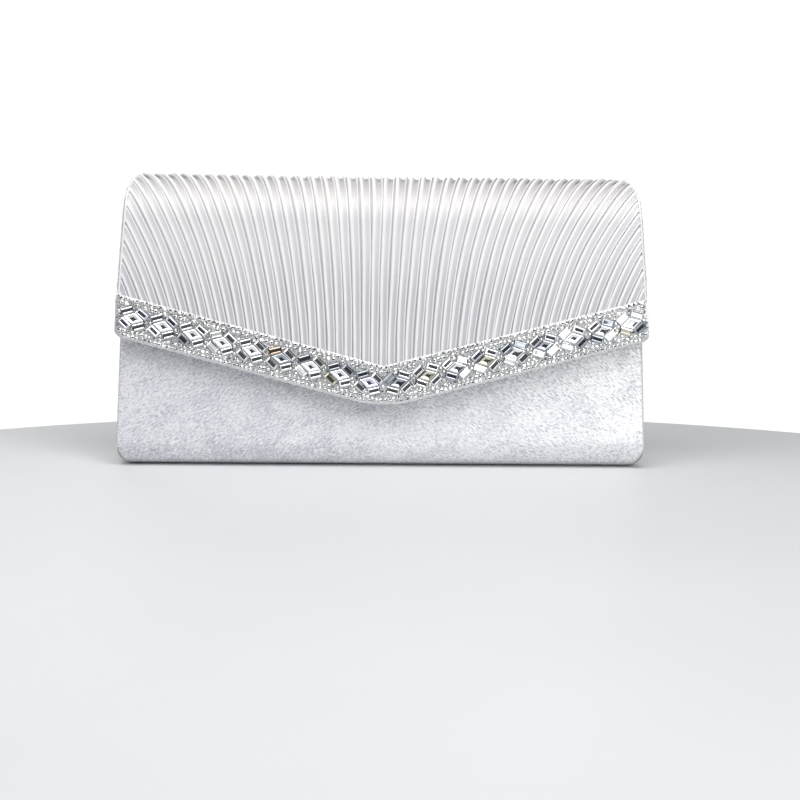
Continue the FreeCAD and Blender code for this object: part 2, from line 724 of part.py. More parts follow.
def ring_loop(x):
    """The satin loop round a ring's bar, sewn flat to the lining above it."""
    y, z = ring_axis_y(), RING_AXIS_Z
    wide = LOOP_WIDE
    start = V(x - wide / 2, y, z)
    along = V(1, 0, 0)
    lean = FreeCAD.Rotation(V(1, 0, 0), BACK_LEAN)
    wall = FreeCAD.Placement(V(x, back_y(z, WALL), z), lean)
    eye = Part.makeCylinder(RING_BAR + LOOP_CLOTH, wide, start, along)
    tail = Part.makeBox(wide, LOOP_TAIL[0], LOOP_TAIL[1], V(-wide / 2, -LOOP_TAIL[0], -1))
    behind = Part.makeBox(4 * wide, 20, 60, V(-2 * wide, 0, -30))
    tail.Placement = wall
    behind.Placement = wall
    hole = Part.makeCylinder(RING_BAR + LOOP_SLACK, wide, start, along)
    return eye.fuse(tail).cut([hole, behind]).removeSplitter()


def build_rings():
    """D-rings for a clip-on strap, each in a satin loop sewn to the back lining."""
    for side, name in ((-1, "left"), (1, "right")):
        export(ring(side * RING_X), "strap_ring_" + name)
        export(ring_loop(side * RING_X), "strap_loop_" + name)


def main():
    os.makedirs("parts", exist_ok=True)
    build_tray()
    build_back()
    build_front()
    build_socket()
    build_flap()
    build_stud()
    build_band()
    build_hinge_tape()
    build_gussets()
    build_rings()
    print("front hinge", round(front_y(FRONT_HINGE_Z), 3), FRONT_HINGE_Z)
    print("flap hinge", round(HINGE_Y, 3), round(HINGE_Z, 3))
    print("ring axis", round(ring_axis_y(), 3), RING_AXIS_Z)


main()
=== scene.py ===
"""The evening bag's looks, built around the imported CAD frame. Working units are
millimetres, in the frame's own axes; every mesh is turned into metres as it is made."""

import json
import math

import bmesh
import bpy
import numpy as np
from mathutils import Matrix, Vector


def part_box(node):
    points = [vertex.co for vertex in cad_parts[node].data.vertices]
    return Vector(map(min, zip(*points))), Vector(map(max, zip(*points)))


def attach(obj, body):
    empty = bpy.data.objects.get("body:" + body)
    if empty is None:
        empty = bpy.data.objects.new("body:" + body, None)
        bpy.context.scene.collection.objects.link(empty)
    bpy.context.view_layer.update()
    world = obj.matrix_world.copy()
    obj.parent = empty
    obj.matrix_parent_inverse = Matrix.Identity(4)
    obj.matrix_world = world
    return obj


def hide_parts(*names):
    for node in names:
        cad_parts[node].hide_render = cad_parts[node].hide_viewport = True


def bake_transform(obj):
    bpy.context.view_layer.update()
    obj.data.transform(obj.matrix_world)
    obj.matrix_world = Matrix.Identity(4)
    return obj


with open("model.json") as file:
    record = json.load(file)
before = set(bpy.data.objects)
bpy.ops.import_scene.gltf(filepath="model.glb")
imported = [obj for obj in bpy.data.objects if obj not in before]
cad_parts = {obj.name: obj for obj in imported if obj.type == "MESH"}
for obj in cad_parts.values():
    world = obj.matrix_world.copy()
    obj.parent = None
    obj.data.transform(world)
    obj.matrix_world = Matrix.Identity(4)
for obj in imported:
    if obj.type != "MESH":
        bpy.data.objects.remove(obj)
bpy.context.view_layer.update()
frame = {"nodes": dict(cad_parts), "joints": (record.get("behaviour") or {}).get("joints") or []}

MM = 0.001
RNG = np.random.default_rng(7)
SIDES = [(-1, "left"), (1, "right")]


def box_mm(node):
    low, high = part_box(node)
    return np.array(low) / MM, np.array(high) / MM


def pivot(name):
    """Where a joint turns, in metres."""
    return next(j["pos_m"] for j in frame["joints"] if j["name"] == name)


# ---------------------------------------------------------------- the case's section
LEAN = math.radians(7.6)  # the front leans back
BACK_LEAN = math.radians(3.0)  # the back leans forward
SIDE_TAN = math.tan(math.radians(2.0))  # the sides lean in
FRONT_BEND, BACK_BEND = 12.0, 9.0  # radii of the bends into the base
WALL = 2.7  # cover, board and lining together
CORNER = 7.0  # radius of the bottom corners
EDGE = 1.35  # radius of the cloth round the boards' edges

_, cover_high = box_mm("flap_pleated_cover")
back_low, back_high = box_mm("back_cover")
front_low, front_high = box_mm("front_cover")

CREST = cover_high[2]
FLAP_FRONT_R, FLAP_BACK_R = 22.0, 10.0  # radii of the flap's fold
FOLD_Y = cover_high[1] - FLAP_BACK_R
FRONT_Z, BACK_Z = CREST - FLAP_FRONT_R, CREST - FLAP_BACK_R
FLAP_CLOTH = 1.2
FLAP_THICK = 3.7
CASE_HALF = back_high[0] + back_low[2] * SIDE_TAN
FRONT_TOP = front_high[2]
BACK_TOP = back_high[2]
SEAM_Z = back_low[2]
FRONT_FOOT = front_low[1] - front_low[2] * math.tan(LEAN)
BACK_FOOT = back_high[1] + back_low[2] * math.tan(BACK_LEAN)


def mix(a, b, t):
    return a + (b - a) * t


def smooth(t):
    t = np.clip(t, 0.0, 1.0)
    return t * t * (3 - 2 * t)


def ripple(count, size, low, high, seed):
    """Smooth random waves: a function of two coordinates, made of a few sines."""
    rng = np.random.default_rng(seed)
    waves = [
        (rng.uniform(low, high), rng.uniform(0, math.pi), rng.uniform(0, 2 * math.pi))
        for _ in range(count)
    ]

    def at(a, b):
        total = 0.0
        for length, turn, phase in waves:
            k = 2 * math.pi / length
            total = total + np.sin(k * (a * math.cos(turn) + b * math.sin(turn)) + phase)
        return size * total / math.sqrt(count)

    return at


# ---------------------------------------------------------------- mesh making
def make_mesh(name, points, faces, material, smooth_faces=True):
    mesh = bpy.data.meshes.new(name)
    mesh.from_pydata((np.asarray(points, float) * MM).tolist(), [], faces)
    mesh.validate()
    mesh.update()
    mesh.materials.append(material)
    mesh.polygons.foreach_set("use_smooth", [smooth_faces] * len(mesh.polygons))
    piece = bpy.data.objects.new(name, mesh)
    bpy.context.scene.collection.objects.link(piece)
    return piece


def grid_faces(rows, columns, flip=False, wrap=False):
    faces = []
    last = columns if wrap else columns - 1
    for i in range(rows - 1):
        for j in range(last):
            k = (j + 1) % columns
            quad = (i * columns + j, i * columns + k, (i + 1) * columns + k, (i + 1) * columns + j)
            faces.append(quad[::-1] if flip else quad)
    return faces


def sheet_mesh(name, rows, material, flip=False):
    """A surface over a grid of points, given row by row."""
    grid = np.array(rows)
    return make_mesh(name, grid.reshape(-1, 3), grid_faces(*grid.shape[:2], flip=flip), material)


def merge_close(piece, distance):
    work = bmesh.new()
    work.from_mesh(piece.data)
    bmesh.ops.remove_doubles(work, verts=work.verts, dist=distance * MM)
    bmesh.ops.dissolve_degenerate(work, edges=work.edges, dist=distance * MM)
    work.to_mesh(piece.data)
    work.free()
    piece.data.polygons.foreach_set("use_smooth", [True] * len(piece.data.polygons))


def thicken(piece, thickness):
    """Gives a surface a thickness, half of it to each side."""
    modifier = piece.modifiers.new("thickness", "SOLIDIFY")
    modifier.thickness = thickness * MM
    modifier.offset = 0.0
    bpy.context.view_layer.objects.active = piece
    with bpy.context.temp_override(object=piece, active_object=piece):
        bpy.ops.object.modifier_apply(modifier=modifier.name)


def paint(piece, name, colours):
    layer = piece.data.color_attributes.new(name, "FLOAT_COLOR", "POINT")
    layer.data.foreach_set("color", np.asarray(colours, np.float32).ravel())


def declare_sheet(area=None):
    if area is not None:
        area *= MM**2


# ---------------------------------------------------------------- materials
class Nodes:
    """A material's node tree, with short ways to add and join nodes."""

    def __init__(self, name, **sockets):
        self.material = bpy.data.materials.new(name)
        self.material.use_nodes = True
        self.tree = self.material.node_tree
        self.shader = next(n for n in self.tree.nodes if n.type == "BSDF_PRINCIPLED")
        self.set(self.shader, **sockets)

    def set(self, node, **sockets):
        for key, value in sockets.items():
            name = key.replace("_", " ").title().replace("Ior", "IOR")
            node.inputs[name].default_value = value

    def add(self, kind, **settings):
        node = self.tree.nodes.new(kind)
        for key, value in settings.items():
            setattr(node, key, value)
        return node

    def link(self, out, into):
        self.tree.links.new(out, into)

    def noise(self, scale, detail=2.0, roughness=0.5, turn=(0, 0, 0)):
        """Noise in the object's own space, with its scale per metre along each axis."""
        coordinates = self.add("ShaderNodeTexCoord")
        mapping = self.add("ShaderNodeMapping", vector_type="TEXTURE")
        mapping.inputs["Scale"].default_value = [1 / k for k in scale]
        mapping.inputs["Rotation"].default_value = [math.radians(a) for a in turn]
        node = self.add("ShaderNodeTexNoise")
        node.inputs["Scale"].default_value = 1.0
        node.inputs["Detail"].default_value = detail
        node.inputs["Roughness"].default_value = roughness
        self.link(coordinates.outputs["Object"], mapping.inputs["Vector"])
        self.link(mapping.outputs["Vector"], node.inputs["Vector"])
        return node.outputs["Fac"]

    def ramp(self, value, stops):
        node = self.add("ShaderNodeValToRGB")
        elements = node.color_ramp.elements
        while len(elements) < len(stops):
            elements.new(0.5)
        for element, (position, colour) in zip(elements, stops):
            element.position = position
            element.color = (*colour, 1.0) if len(colour) == 3 else colour
        self.link(value, node.inputs["Fac"])
        return node.outputs["Color"]

    def span(self, value, low, high, to_low, to_high):
        node = self.add("ShaderNodeMapRange")
        for name, number in (
            ("From Min", low), ("From Max", high), ("To Min", to_low), ("To Max", to_high)
        ):
            node.inputs[name].default_value = number
        self.link(value, node.inputs["Value"])
        return node.outputs["Result"]

    def blend(self, factor, a, b, kind="MIX"):
        node = self.add("ShaderNodeMix", data_type="RGBA", blend_type=kind)
        for value, socket in ((factor, node.inputs[0]), (a, node.inputs[6]), (b, node.inputs[7])):
            if isinstance(value, bpy.types.NodeSocket):
                self.link(value, socket)
            elif isinstance(value, (int, float)):
                socket.default_value = value
            else:
                socket.default_value = (*value, 1.0)
        return node.outputs[2]

    def math(self, operation, a, b=0.0):
        node = self.add("ShaderNodeMath", operation=operation)
        for value, socket in ((a, node.inputs[0]), (b, node.inputs[1])):
            if isinstance(value, bpy.types.NodeSocket):
                self.link(value, socket)
            else:
                socket.default_value = value
        return node.outputs[0]

    def attribute(self, name):
        node = self.add("ShaderNodeAttribute", attribute_name=name)
        return node.outputs["Color"]

    def bump(self, height, distance, strength):
        node = self.add("ShaderNodeBump")
        node.inputs["Strength"].default_value = strength
        node.inputs["Distance"].default_value = distance * MM
        self.link(height, node.inputs["Height"])
        return node.outputs["Normal"]

    def finish(self, colour=None, roughness=None, normal=None):
        for value, name in ((colour, "Base Color"), (roughness, "Roughness"), (normal, "Normal")):
            if value is not None:
                self.link(value, self.shader.inputs[name])
        return self.material


def satin_pleated():
    """Pressed satin: fine threads along the folds; painted shade greys the valleys and darkens the gaps
    between folds.
    """
    m = Nodes("pleated_satin", roughness=0.36, sheen_weight=0.15, sheen_roughness=0.4,
              specular_ior_level=0.7)
    threads = m.noise((9000, 9000, 500))
    cloud = m.noise((60, 60, 35), 3.0)
    # Painted shade from the shade attribute, times a warm tint that also carries painted shadow in the
    # folds at the crest.
    fold = m.ramp(m.attribute("shade"), [
        (0.0, (0.40, 0.395, 0.42)), (0.34, (0.54, 0.53, 0.555)), (0.62, (0.74, 0.73, 0.75)),
        (1.0, (0.90, 0.895, 0.905))])
    fold = m.blend(1.0, fold, m.attribute("warm_tint_and_painted_shade"), "MULTIPLY")
    tint = m.ramp(cloud, [(0.3, (0.955, 0.955, 0.97)), (0.7, (1.0, 0.995, 0.985))])
    colour = m.blend(1.0, fold, tint, "MULTIPLY")
    return m.finish(colour, m.span(threads, 0.3, 0.7, 0.30, 0.44), m.bump(threads, 0.05, 0.5))


def satin_plain():
    """Smooth satin: a tight weave, soft clouding from handling."""
    m = Nodes("plain_satin", roughness=0.36, sheen_weight=0.12, sheen_roughness=0.4,
              specular_ior_level=0.6)
    base = (0.90, 0.895, 0.905)
    low = tuple(0.95 * c for c in base)
    weave = m.noise((7000, 2500, 2500), turn=(0, 0, 20))
    colour = m.ramp(m.noise((45, 45, 45), 3.0), [(0.3, low), (0.7, base)])
    colour = m.blend(0.25, colour, m.ramp(weave, [(0.3, low), (0.7, (1, 1, 1))]), "MULTIPLY")
    return m.finish(colour, m.span(weave, 0.3, 0.7, 0.3, 0.42), m.bump(weave, 0.06, 0.5))


def satin_glitter():
    """White satin with a silver shimmer thread: short bright dashes on a soft ground, with painted light
    making it lighter and shinier towards the viewer's right (+x).
    """
    m = Nodes("glitter_satin", roughness=0.4, sheen_weight=0.1, sheen_roughness=0.4,
              specular_ior_level=0.6)
    rising = m.noise((620, 1100, 3100), 1.5, 0.6, (0, -36, 0))
    falling = m.noise((620, 1100, 3100), 1.5, 0.6, (0, 30, 0))
    cloud = m.noise((60, 60, 90), 3.0, 0.6, (0, -25, 0))
    wide = m.noise((11, 11, 11))
    across = m.add("ShaderNodeSeparateXYZ")
    m.link(m.add("ShaderNodeTexCoord").outputs["Object"], across.inputs[0])
    turning = m.math("ADD", across.outputs["X"], m.span(cloud, 0.3, 0.7, -0.05, 0.05))
    dash = m.blend(m.span(turning, -0.01, 0.03, 0.0, 1.0), rising, falling)
    small_patch = m.span(cloud, 0.3, 0.7, -0.045, 0.045)
    patch = m.math("ADD", small_patch, m.span(wide, 0.3, 0.7, -0.02, 0.02))
    # Painted light: the flecks grow lighter and more metallic towards +x, where the light falls.
    side = m.span(across.outputs["X"], -0.05, 0.11, 0.0, 0.06)
    fleck = m.math("ADD", m.math("ADD", dash, patch), side)
    colour = m.ramp(fleck, [(0.38, (0.45, 0.46, 0.52)), (0.46, (0.62, 0.63, 0.685)),
                            (0.53, (0.76, 0.765, 0.80)), (0.62, (0.98, 0.98, 0.985))])
    m.link(m.span(fleck, 0.55, 0.68, 0.0, 0.5), m.shader.inputs["Metallic"])
    return m.finish(colour, m.span(fleck, 0.42, 0.62, 0.5, 0.28), m.bump(fleck, 0.2, 0.6))


def lining_cloth():
    """Warm grey twill."""
    m = Nodes("lining_cloth", roughness=0.62, sheen_weight=0.1)
    twill = m.noise((1200, 5200, 5200), turn=(45, 0, 45))
    ground = m.ramp(m.noise((40, 40, 40), 3.0), [(0.3, (0.74, 0.71, 0.67)), (0.7, (0.82, 0.80, 0.76))])
    ribs = m.ramp(twill, [(0.35, (0.8, 0.8, 0.8)), (0.65, (1, 1, 1))])
    colour = m.blend(0.35, ground, ribs, "MULTIPLY")
    return m.finish(colour, m.span(twill, 0.3, 0.7, 0.55, 0.7), m.bump(twill, 0.08, 0.6))


def greyboard():
    m = Nodes("greyboard", roughness=0.85)
    fibre = m.noise((900, 900, 900), 4.0)
    colour = m.ramp(fibre, [(0.3, (0.34, 0.33, 0.31)), (0.7, (0.48, 0.47, 0.44))])
    return m.finish(colour, m.span(fibre, 0.3, 0.7, 0.75, 0.95), m.bump(fibre, 0.1, 0.5))


def metal(name, base, rough, metallic=1.0):
    m = Nodes(name, metallic=metallic, roughness=rough[0])
    haze = m.noise((350, 350, 350), 3.0)
    fine = m.noise((3000, 3000, 3000))
    dark = tuple(0.86 * c for c in base)
    colour = m.ramp(haze, [(0.3, dark), (0.7, base)])
    return m.finish(colour, m.span(haze, 0.3, 0.7, *rough), m.bump(fine, 0.01, 0.3))


def crystal():
    """Foil-backed cut glass: bright mirror facets, tinted stone by stone; the tints other than near white
    are painted reflections.
    """
    m = Nodes("crystal", metallic=1.0, roughness=0.03, coat_weight=1.0, coat_roughness=0.02)
    haze = m.noise((600, 600, 600))
    cloud = m.ramp(haze, [(0.35, (0.9, 0.91, 0.93)), (0.65, (1, 1, 1))])
    colour = m.blend(1.0, m.attribute("tint"), cloud, "MULTIPLY")
    return m.finish(colour, m.span(haze, 0.3, 0.7, 0.02, 0.06))


PLEATED = satin_pleated()
SATIN = satin_plain()
GLITTER = satin_glitter()
LINING = lining_cloth()
BOARD = greyboard()
SILVER = metal("silver_plate", (0.84, 0.84, 0.86), (0.10, 0.2))
MESH_METAL = metal("silver_mesh", (0.80, 0.80, 0.82), (0.3, 0.45), 0.6)
STEEL = metal("steel", (0.60, 0.60, 0.62), (0.25, 0.45))
MAGNET = metal("magnet", (0.33, 0.33, 0.35), (0.4, 0.6), 0.8)
CRYSTAL = crystal()

# ---------------------------------------------------------------- the flap's surface
# Heights up the flap are measured along its face, unrolled over the fold.
W_FLAT = (FRONT_Z + FLAP_FRONT_R * math.sin(LEAN)) / math.cos(LEAN)  # the flat front ends
W_CREST = W_FLAT + FLAP_FRONT_R * (math.pi / 2 - LEAN)  # the top of the fold
W_END = W_CREST + FLAP_BACK_R * math.pi / 2  # the fold ends behind

SLOPE = math.radians(14.7)  # of the V's arms
TIP = 28.2  # height of the V's tip, were it sharp
TIP_ROUND = 56.0
FLAP_HALF = 120.0
FLAP_CORNER = 6.0
SIDE_TOP = (115.7, 119.0)  # half width and height where the sides start to round over
CREST_HALF = 110.8


def flap_point(x, w, out):
    """A point x across and w up the flap, unrolled over its fold, and out from its face."""
    x, w, out = np.broadcast_arrays(
        np.asarray(x, float), np.asarray(w, float), np.asarray(out, float)
    )
    angle = LEAN + np.clip(w - W_FLAT, 0, W_CREST - W_FLAT) / FLAP_FRONT_R
    turn = np.clip(w - W_CREST, 0, W_END - W_CREST) / FLAP_BACK_R
    ny, nz = -np.cos(angle), np.sin(angle)
    y = FOLD_Y + (FLAP_FRONT_R + out) * ny
    z = FRONT_Z + (FLAP_FRONT_R + out) * nz
    below = np.clip(W_FLAT - w, 0, None)
    y, z = y - below * math.sin(LEAN), z - below * math.cos(LEAN)
    back_y = FOLD_Y + (FLAP_BACK_R + out) * np.sin(turn)
    back_z = BACK_Z + (FLAP_BACK_R + out) * np.cos(turn) - np.clip(w - W_END, 0, None)
    over = w > W_CREST
    return np.stack([x, np.where(over, back_y, y), np.where(over, back_z, z)], -1)


def flap_half(w):
    """Half the flap's width at a height; the sides lean in and round over at the crest."""
    side_x, side_w = SIDE_TOP
    corner_w = TIP + FLAP_HALF * math.tan(SLOPE)
    straight = FLAP_HALF - (w - corner_w) * (FLAP_HALF - side_x) / (side_w - corner_w)
    rise = np.clip((w - side_w) / (W_CREST - side_w), 0, 1)
    rounded = side_x - (side_x - CREST_HALF) * rise**1.7
    behind = CREST_HALF + 2.4 * np.clip((w - W_CREST) / (W_END - W_CREST), 0, 1.3)
    return np.where(w < side_w, straight, np.where(w < W_CREST, rounded, behind))


def corner_circle():
    """Centre of the flap's rounded lower corner, and where its arc meets the V's arm."""
    side_x, side_w = SIDE_TOP
    corner = np.array([FLAP_HALF, TIP + FLAP_HALF * math.tan(SLOPE)])
    lean = math.atan2(FLAP_HALF - side_x, side_w - corner[1])
    half_turn = (math.pi / 2 + SLOPE - lean) / 2
    down = np.array([-math.cos(SLOPE), -math.sin(SLOPE)])
    up = np.array([-math.sin(lean), math.cos(lean)])
    inward = (down + up) / np.linalg.norm(down + up)
    reach = FLAP_CORNER / math.tan(half_turn)
    return corner + inward * FLAP_CORNER / math.sin(half_turn), corner + down * reach, corner + up * reach


CORNER_CENTRE, CORNER_LOW, CORNER_SIDE = corner_circle()
TIP_HALF = TIP_ROUND * math.sin(SLOPE)


def flap_edge(x):
    """Height of the flap's lower edge at x."""
    a = np.abs(x)
    arm = TIP + a * math.tan(SLOPE)
    tip = TIP + TIP_ROUND / math.cos(SLOPE) - np.sqrt(np.clip(TIP_ROUND**2 - a**2, 0, None))
    reach = np.clip(a - CORNER_CENTRE[0], 0, FLAP_CORNER)
    corner = CORNER_CENTRE[1] - np.sqrt(np.clip(FLAP_CORNER**2 - (a - CORNER_CENTRE[0]) ** 2, 0, None))
    return np.where(a < TIP_HALF, tip, np.where(a > CORNER_LOW[0], corner, arm))


# ---------------------------------------------------------------- pleats
PLEAT_AXIS = -6.0  # the upright pleat is a little left of the middle
PLEAT_LOW, PLEAT_GAIN = 3.88, 1.37  # pitch low on the flap, and how much it widens
PLEAT_END = W_END - 1.0
FIRST_PLEAT, LAST_PLEAT = -34, 36
PLEAT_ROWS = 112
REACH = FLAP_HALF - 0.5
PROFILE = [  # one pleat: part of the pitch, height, height at the crest, painted shade
    (0.00, 0.12, 0.35, 0.12), (0.03, 0.32, 0.60, 0.55), (0.07, 0.64, 0.95, 0.95),
    (0.13, 0.95, 1.10, 1.0), (0.20, 1.06, 1.12, 1.0), (0.27, 1.04, 1.04, 0.85),
    (0.34, 0.95, 0.78, 0.6), (0.40, 0.87, 0.42, 0.38), (0.52, 0.82, 0.16, 0.32),
    (0.64, 0.82, 0.08, 0.30), (0.74, 0.87, 0.12, 0.32), (0.79, 0.96, 0.55, 0.55),
    (0.83, 1.03, 0.95, 0.85), (0.89, 1.00, 1.00, 0.8), (0.93, 0.76, 0.85, 0.35),
    (0.92, 0.50, 0.65, 0.14), (0.90, 0.28, 0.50, 0.10),
]


def pleat_pitch(w):
    return PLEAT_LOW + PLEAT_GAIN * (np.clip(w - 50, 0, None) / 80) ** 1.62


def pleat_x(pleat, w, wander):
    pitch = pleat_pitch(w)
    spread = 1 + 0.035 * smooth((w - 95) / 45) * (pleat > 0)
    return PLEAT_AXIS + pleat * pitch * spread + wander


def build_pleated_cover():
    """The flap's pleated satin, from the V's edge over the fold, turned in at both sides."""
    count = LAST_PLEAT - FIRST_PLEAT
    part, base_rise, crest_rise, shade = np.tile(np.array(PROFILE).T, count)
    which = np.repeat(np.arange(count), len(PROFILE))
    pleat = FIRST_PLEAT + which + part
    sway = RNG.uniform(-1, 1, (count, 6))[which].T

    def wander(w):
        wave = 0.16 * np.sin(w / 17 + 3 * sway[0]) + 0.08 * np.sin(w / 7 + 3 * sway[1])
        return sway[2] * 0.16 + wave

    low = np.full(len(pleat), 60.0)
    for _ in range(25):
        low = flap_edge(np.clip(pleat_x(pleat, low, wander(low)), -REACH, REACH))
    points, shades, tints_and_painted_shade = [], [], []
    for t in np.linspace(0, 1, PLEAT_ROWS):
        w = low + (PLEAT_END - low) * t
        x = pleat_x(pleat, w, wander(w))
        near_crest = smooth((w - 116) / 20)

        # Height: flattened under the band and towards the hinge, fuller near the crest.
        lift = 1 + 0.1 * sway[3] + 0.06 * np.sin(w / 9 + 4 * sway[4])
        above_band = smooth((w - flap_edge(np.clip(x, 0.5 - REACH, REACH - 0.5)) - 16) / 5)
        height = mix(base_rise, crest_rise, near_crest) * lift * mix(0.72, 1.0, above_band)
        height = height * (1 + 0.35 * smooth((w - 125) / 18))
        height = 0.25 + (height - 0.25) * mix(0.25, 1.0, smooth((PLEAT_END - w) / 4))

        # Past the border the cloth turns round the board's edge.
        border = flap_half(w) - 0.75 - EDGE
        turned_by = np.clip((np.abs(x) - border) / EDGE, 0, 1.9)
        side = np.sign(x)
        flat_x = np.where(turned_by > 0, side * (border + EDGE * np.sin(turned_by)), x)
        drop = np.where(turned_by > 0, EDGE * (1 - np.cos(turned_by)), 0)
        point = flap_point(flat_x, w, -FLAP_CLOTH - drop + height * np.cos(turned_by))
        point[:, 0] += side * height * np.sin(turned_by) * (turned_by > 0)
        points.append(point)

        # Painted shade: grey valleys and dark gaps, painted light lifting the valleys half way up, a warm
        # tint in the upper valleys, and painted shadow in the folds at the crest.
        painted_light_band = smooth((w - 72) / 35) * (1 - smooth((w - 124) / 12))
        shades.append(np.maximum(shade, 0.22 * near_crest) + 0.3 * painted_light_band * (1 - shade))
        valley = (smooth((w - 100) / 32) * (1 - shade))[:, None]
        warm = 1 - valley * np.array([0.05, 0.08, 0.14])
        painted_hollow_shadow = (crest_rise < 0.25) * smooth((w - 134) / 6) * (1 - smooth((w - 144) / 6))
        tints_and_painted_shade.append(warm * (1 - 0.66 * painted_hollow_shadow[:, None]))
    piece = sheet_mesh("pleated_cover", points, PLEATED)
    colours = np.ones((PLEAT_ROWS * len(pleat), 4), np.float32)
    colours[:, :3] = np.concatenate(shades)[:, None]
    paint(piece, "shade", colours)
    colours[:, :3] = np.concatenate(tints_and_painted_shade)
    paint(piece, "warm_tint_and_painted_shade", colours)
    merge_close(piece, 0.004)
    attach(piece, "flap")
    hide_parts("flap_pleated_cover", "flap_batting", "flap_fold_foam")
    declare_sheet()


build_pleated_cover()


# ---------------------------------------------------------------- cloth over the case
def back_y(z, depth=0.0):
    return BACK_FOOT - z * math.tan(BACK_LEAN) - depth / math.cos(BACK_LEAN)


def front_y(z, depth=0.0):
    return FRONT_FOOT + z * math.tan(LEAN) + depth / math.cos(LEAN)


FRONT_CENTRE = FRONT_FOOT + FRONT_BEND * (1 + math.sin(LEAN)) / math.cos(LEAN)
BACK_CENTRE = BACK_FOOT - BACK_BEND * (1 + math.sin(BACK_LEAN)) / math.cos(BACK_LEAN)


def case_section(front_top, back_end, depth=0.0, step=3.0):
    """Rows down the front, under the base and up the back: y, z and the outward normal."""
    rows = []
    bend_top = FRONT_BEND * (1 + math.sin(LEAN))
    for z in np.arange(front_top, bend_top, -step):
        rows.append((front_y(z, depth), z, -math.cos(LEAN), math.sin(LEAN)))
    for angle in np.linspace(LEAN, -math.pi / 2, 14):
        r = FRONT_BEND - depth
        ny, nz = -math.cos(angle), math.sin(angle)
        rows.append((FRONT_CENTRE + r * ny, FRONT_BEND + r * nz, ny, nz))
    for y in np.linspace(FRONT_CENTRE, BACK_CENTRE, 9)[1:-1]:
        rows.append((y, depth, 0.0, -1.0))
    for angle in np.linspace(-math.pi / 2, BACK_LEAN, 12):
        r = BACK_BEND - depth
        ny, nz = math.cos(angle), math.sin(angle)
        rows.append((BACK_CENTRE + r * ny, BACK_BEND + r * nz, ny, nz))
    start = rows[-1][1]
    for z in np.arange(start + step, back_end, step):
        rows.append((back_y(z, depth), z, math.cos(BACK_LEAN), math.sin(BACK_LEAN)))
    rows.append((back_y(back_end, depth), back_end, math.cos(BACK_LEAN), math.sin(BACK_LEAN)))
    return np.array(rows)


def case_half(z):
    return CASE_HALF - np.maximum(z, CORNER) * SIDE_TAN


def wrapped_rows(rows, halves, radii, turns, hems, bulge):
    """Cloth over rows of the section, turned round both side edges to the inside."""
    flat = np.linspace(0, 1, 60)
    out_turn = np.linspace(0, math.pi / 2, 8)[1:]
    in_turn = np.linspace(math.pi / 2, math.pi, 6)[1:]
    inside = np.linspace(0, 1, 4)[1:]
    points = []
    for (y, z, ny, nz), half, radius, turn, hem in zip(rows, halves, radii, turns, hems):
        border = half - radius
        xs = np.concatenate([
            border * flat, border + radius * np.sin(out_turn),
            half - turn + turn * np.sin(in_turn), half - turn - hem * inside])
        ins = np.concatenate([
            0 * flat, radius * (1 - np.cos(out_turn)),
            radius - turn * np.cos(in_turn), 0 * inside + radius + turn])
        full_x = np.concatenate([-xs[::-1], xs[1:]])
        full_in = np.concatenate([ins[::-1], ins[1:]])
        depth = full_in - bulge(full_x, z, ny, nz) * (1 - smooth(full_in / EDGE))
        points.append(np.stack([full_x, y - ny * depth, z - nz * depth], -1))
    return np.array(points)


def front_bulge(x, z, ny, nz):
    """Soft fullness of the padded front, none where the bag stands."""
    facing = max(0.0, -ny) ** 2
    across = np.clip(1 - (x / 117) ** 2, 0, 1) ** 0.7
    up = math.sin(math.pi * min(max((z - 2) / 108, 0), 1)) ** 0.7 if z > 2 else 0.0
    return facing * (0.45 * across * up + 0.07 * FRONT_WAVES(x, z) * up)


FRONT_WAVES = ripple(9, 1.0, 22, 60, 3)
BACK_WAVES = ripple(9, 1.0, 25, 70, 4)


def fold_blend(piece):
    """Bakes a cloth's transform into its mesh; the cloth does not bend with the front panel's scored
    fold.
    """
    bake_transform(piece)


def hinge_blend(piece):
    """Bakes a cloth's transform into its mesh; the cloth does not bend with the flap's hinge."""
    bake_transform(piece)


def build_front_cloth():
    """Glitter satin of the front panel and the base, one cloth bent at the foot."""
    rows = case_section(FRONT_TOP - 0.4, SEAM_Z, 0.0, 2.5)
    pan = np.clip(-rows[:, 3], 0, 1) ** 1.5
    halves = case_half(rows[:, 1])
    body = wrapped_rows(rows, halves, EDGE + (CORNER - EDGE) * pan, np.full(len(rows), EDGE),
                        1.0 + 6.0 * (1 - pan), front_bulge)

    # Over the top edge the cloth rolls round the board and hangs down inside as a hem.
    y, z, ny, nz = rows[0]
    roll = np.linspace(math.pi, 0, 9)[:-1]
    over = []
    for angle in roll:
        depth, lift = EDGE * (1 - math.cos(angle)), EDGE * math.sin(angle)
        over.append((y - ny * depth + lift * math.sin(LEAN), z - nz * depth + lift * math.cos(LEAN),
                     ny, nz))
    hem = 7.0
    over.insert(0, (over[0][0] - hem * math.sin(LEAN), over[0][1] - hem * math.cos(LEAN), ny, nz))
    count = len(over)
    ends = np.maximum([0.0, 0.0] + [EDGE * (1 + math.cos(a)) / 2 for a in roll[1:]], 0.03)
    top = wrapped_rows(over, np.full(count, halves[0] - 0.15), ends, ends, np.full(count, 0.1),
                       lambda x, z, ny, nz: 0 * x)
    piece = sheet_mesh("front_and_base_cloth", np.concatenate([top, body]), GLITTER)
    merge_close(piece, 0.002)
    declare_sheet()
    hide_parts("front_cover", "base_cover")
    fold_blend(piece)


build_front_cloth()


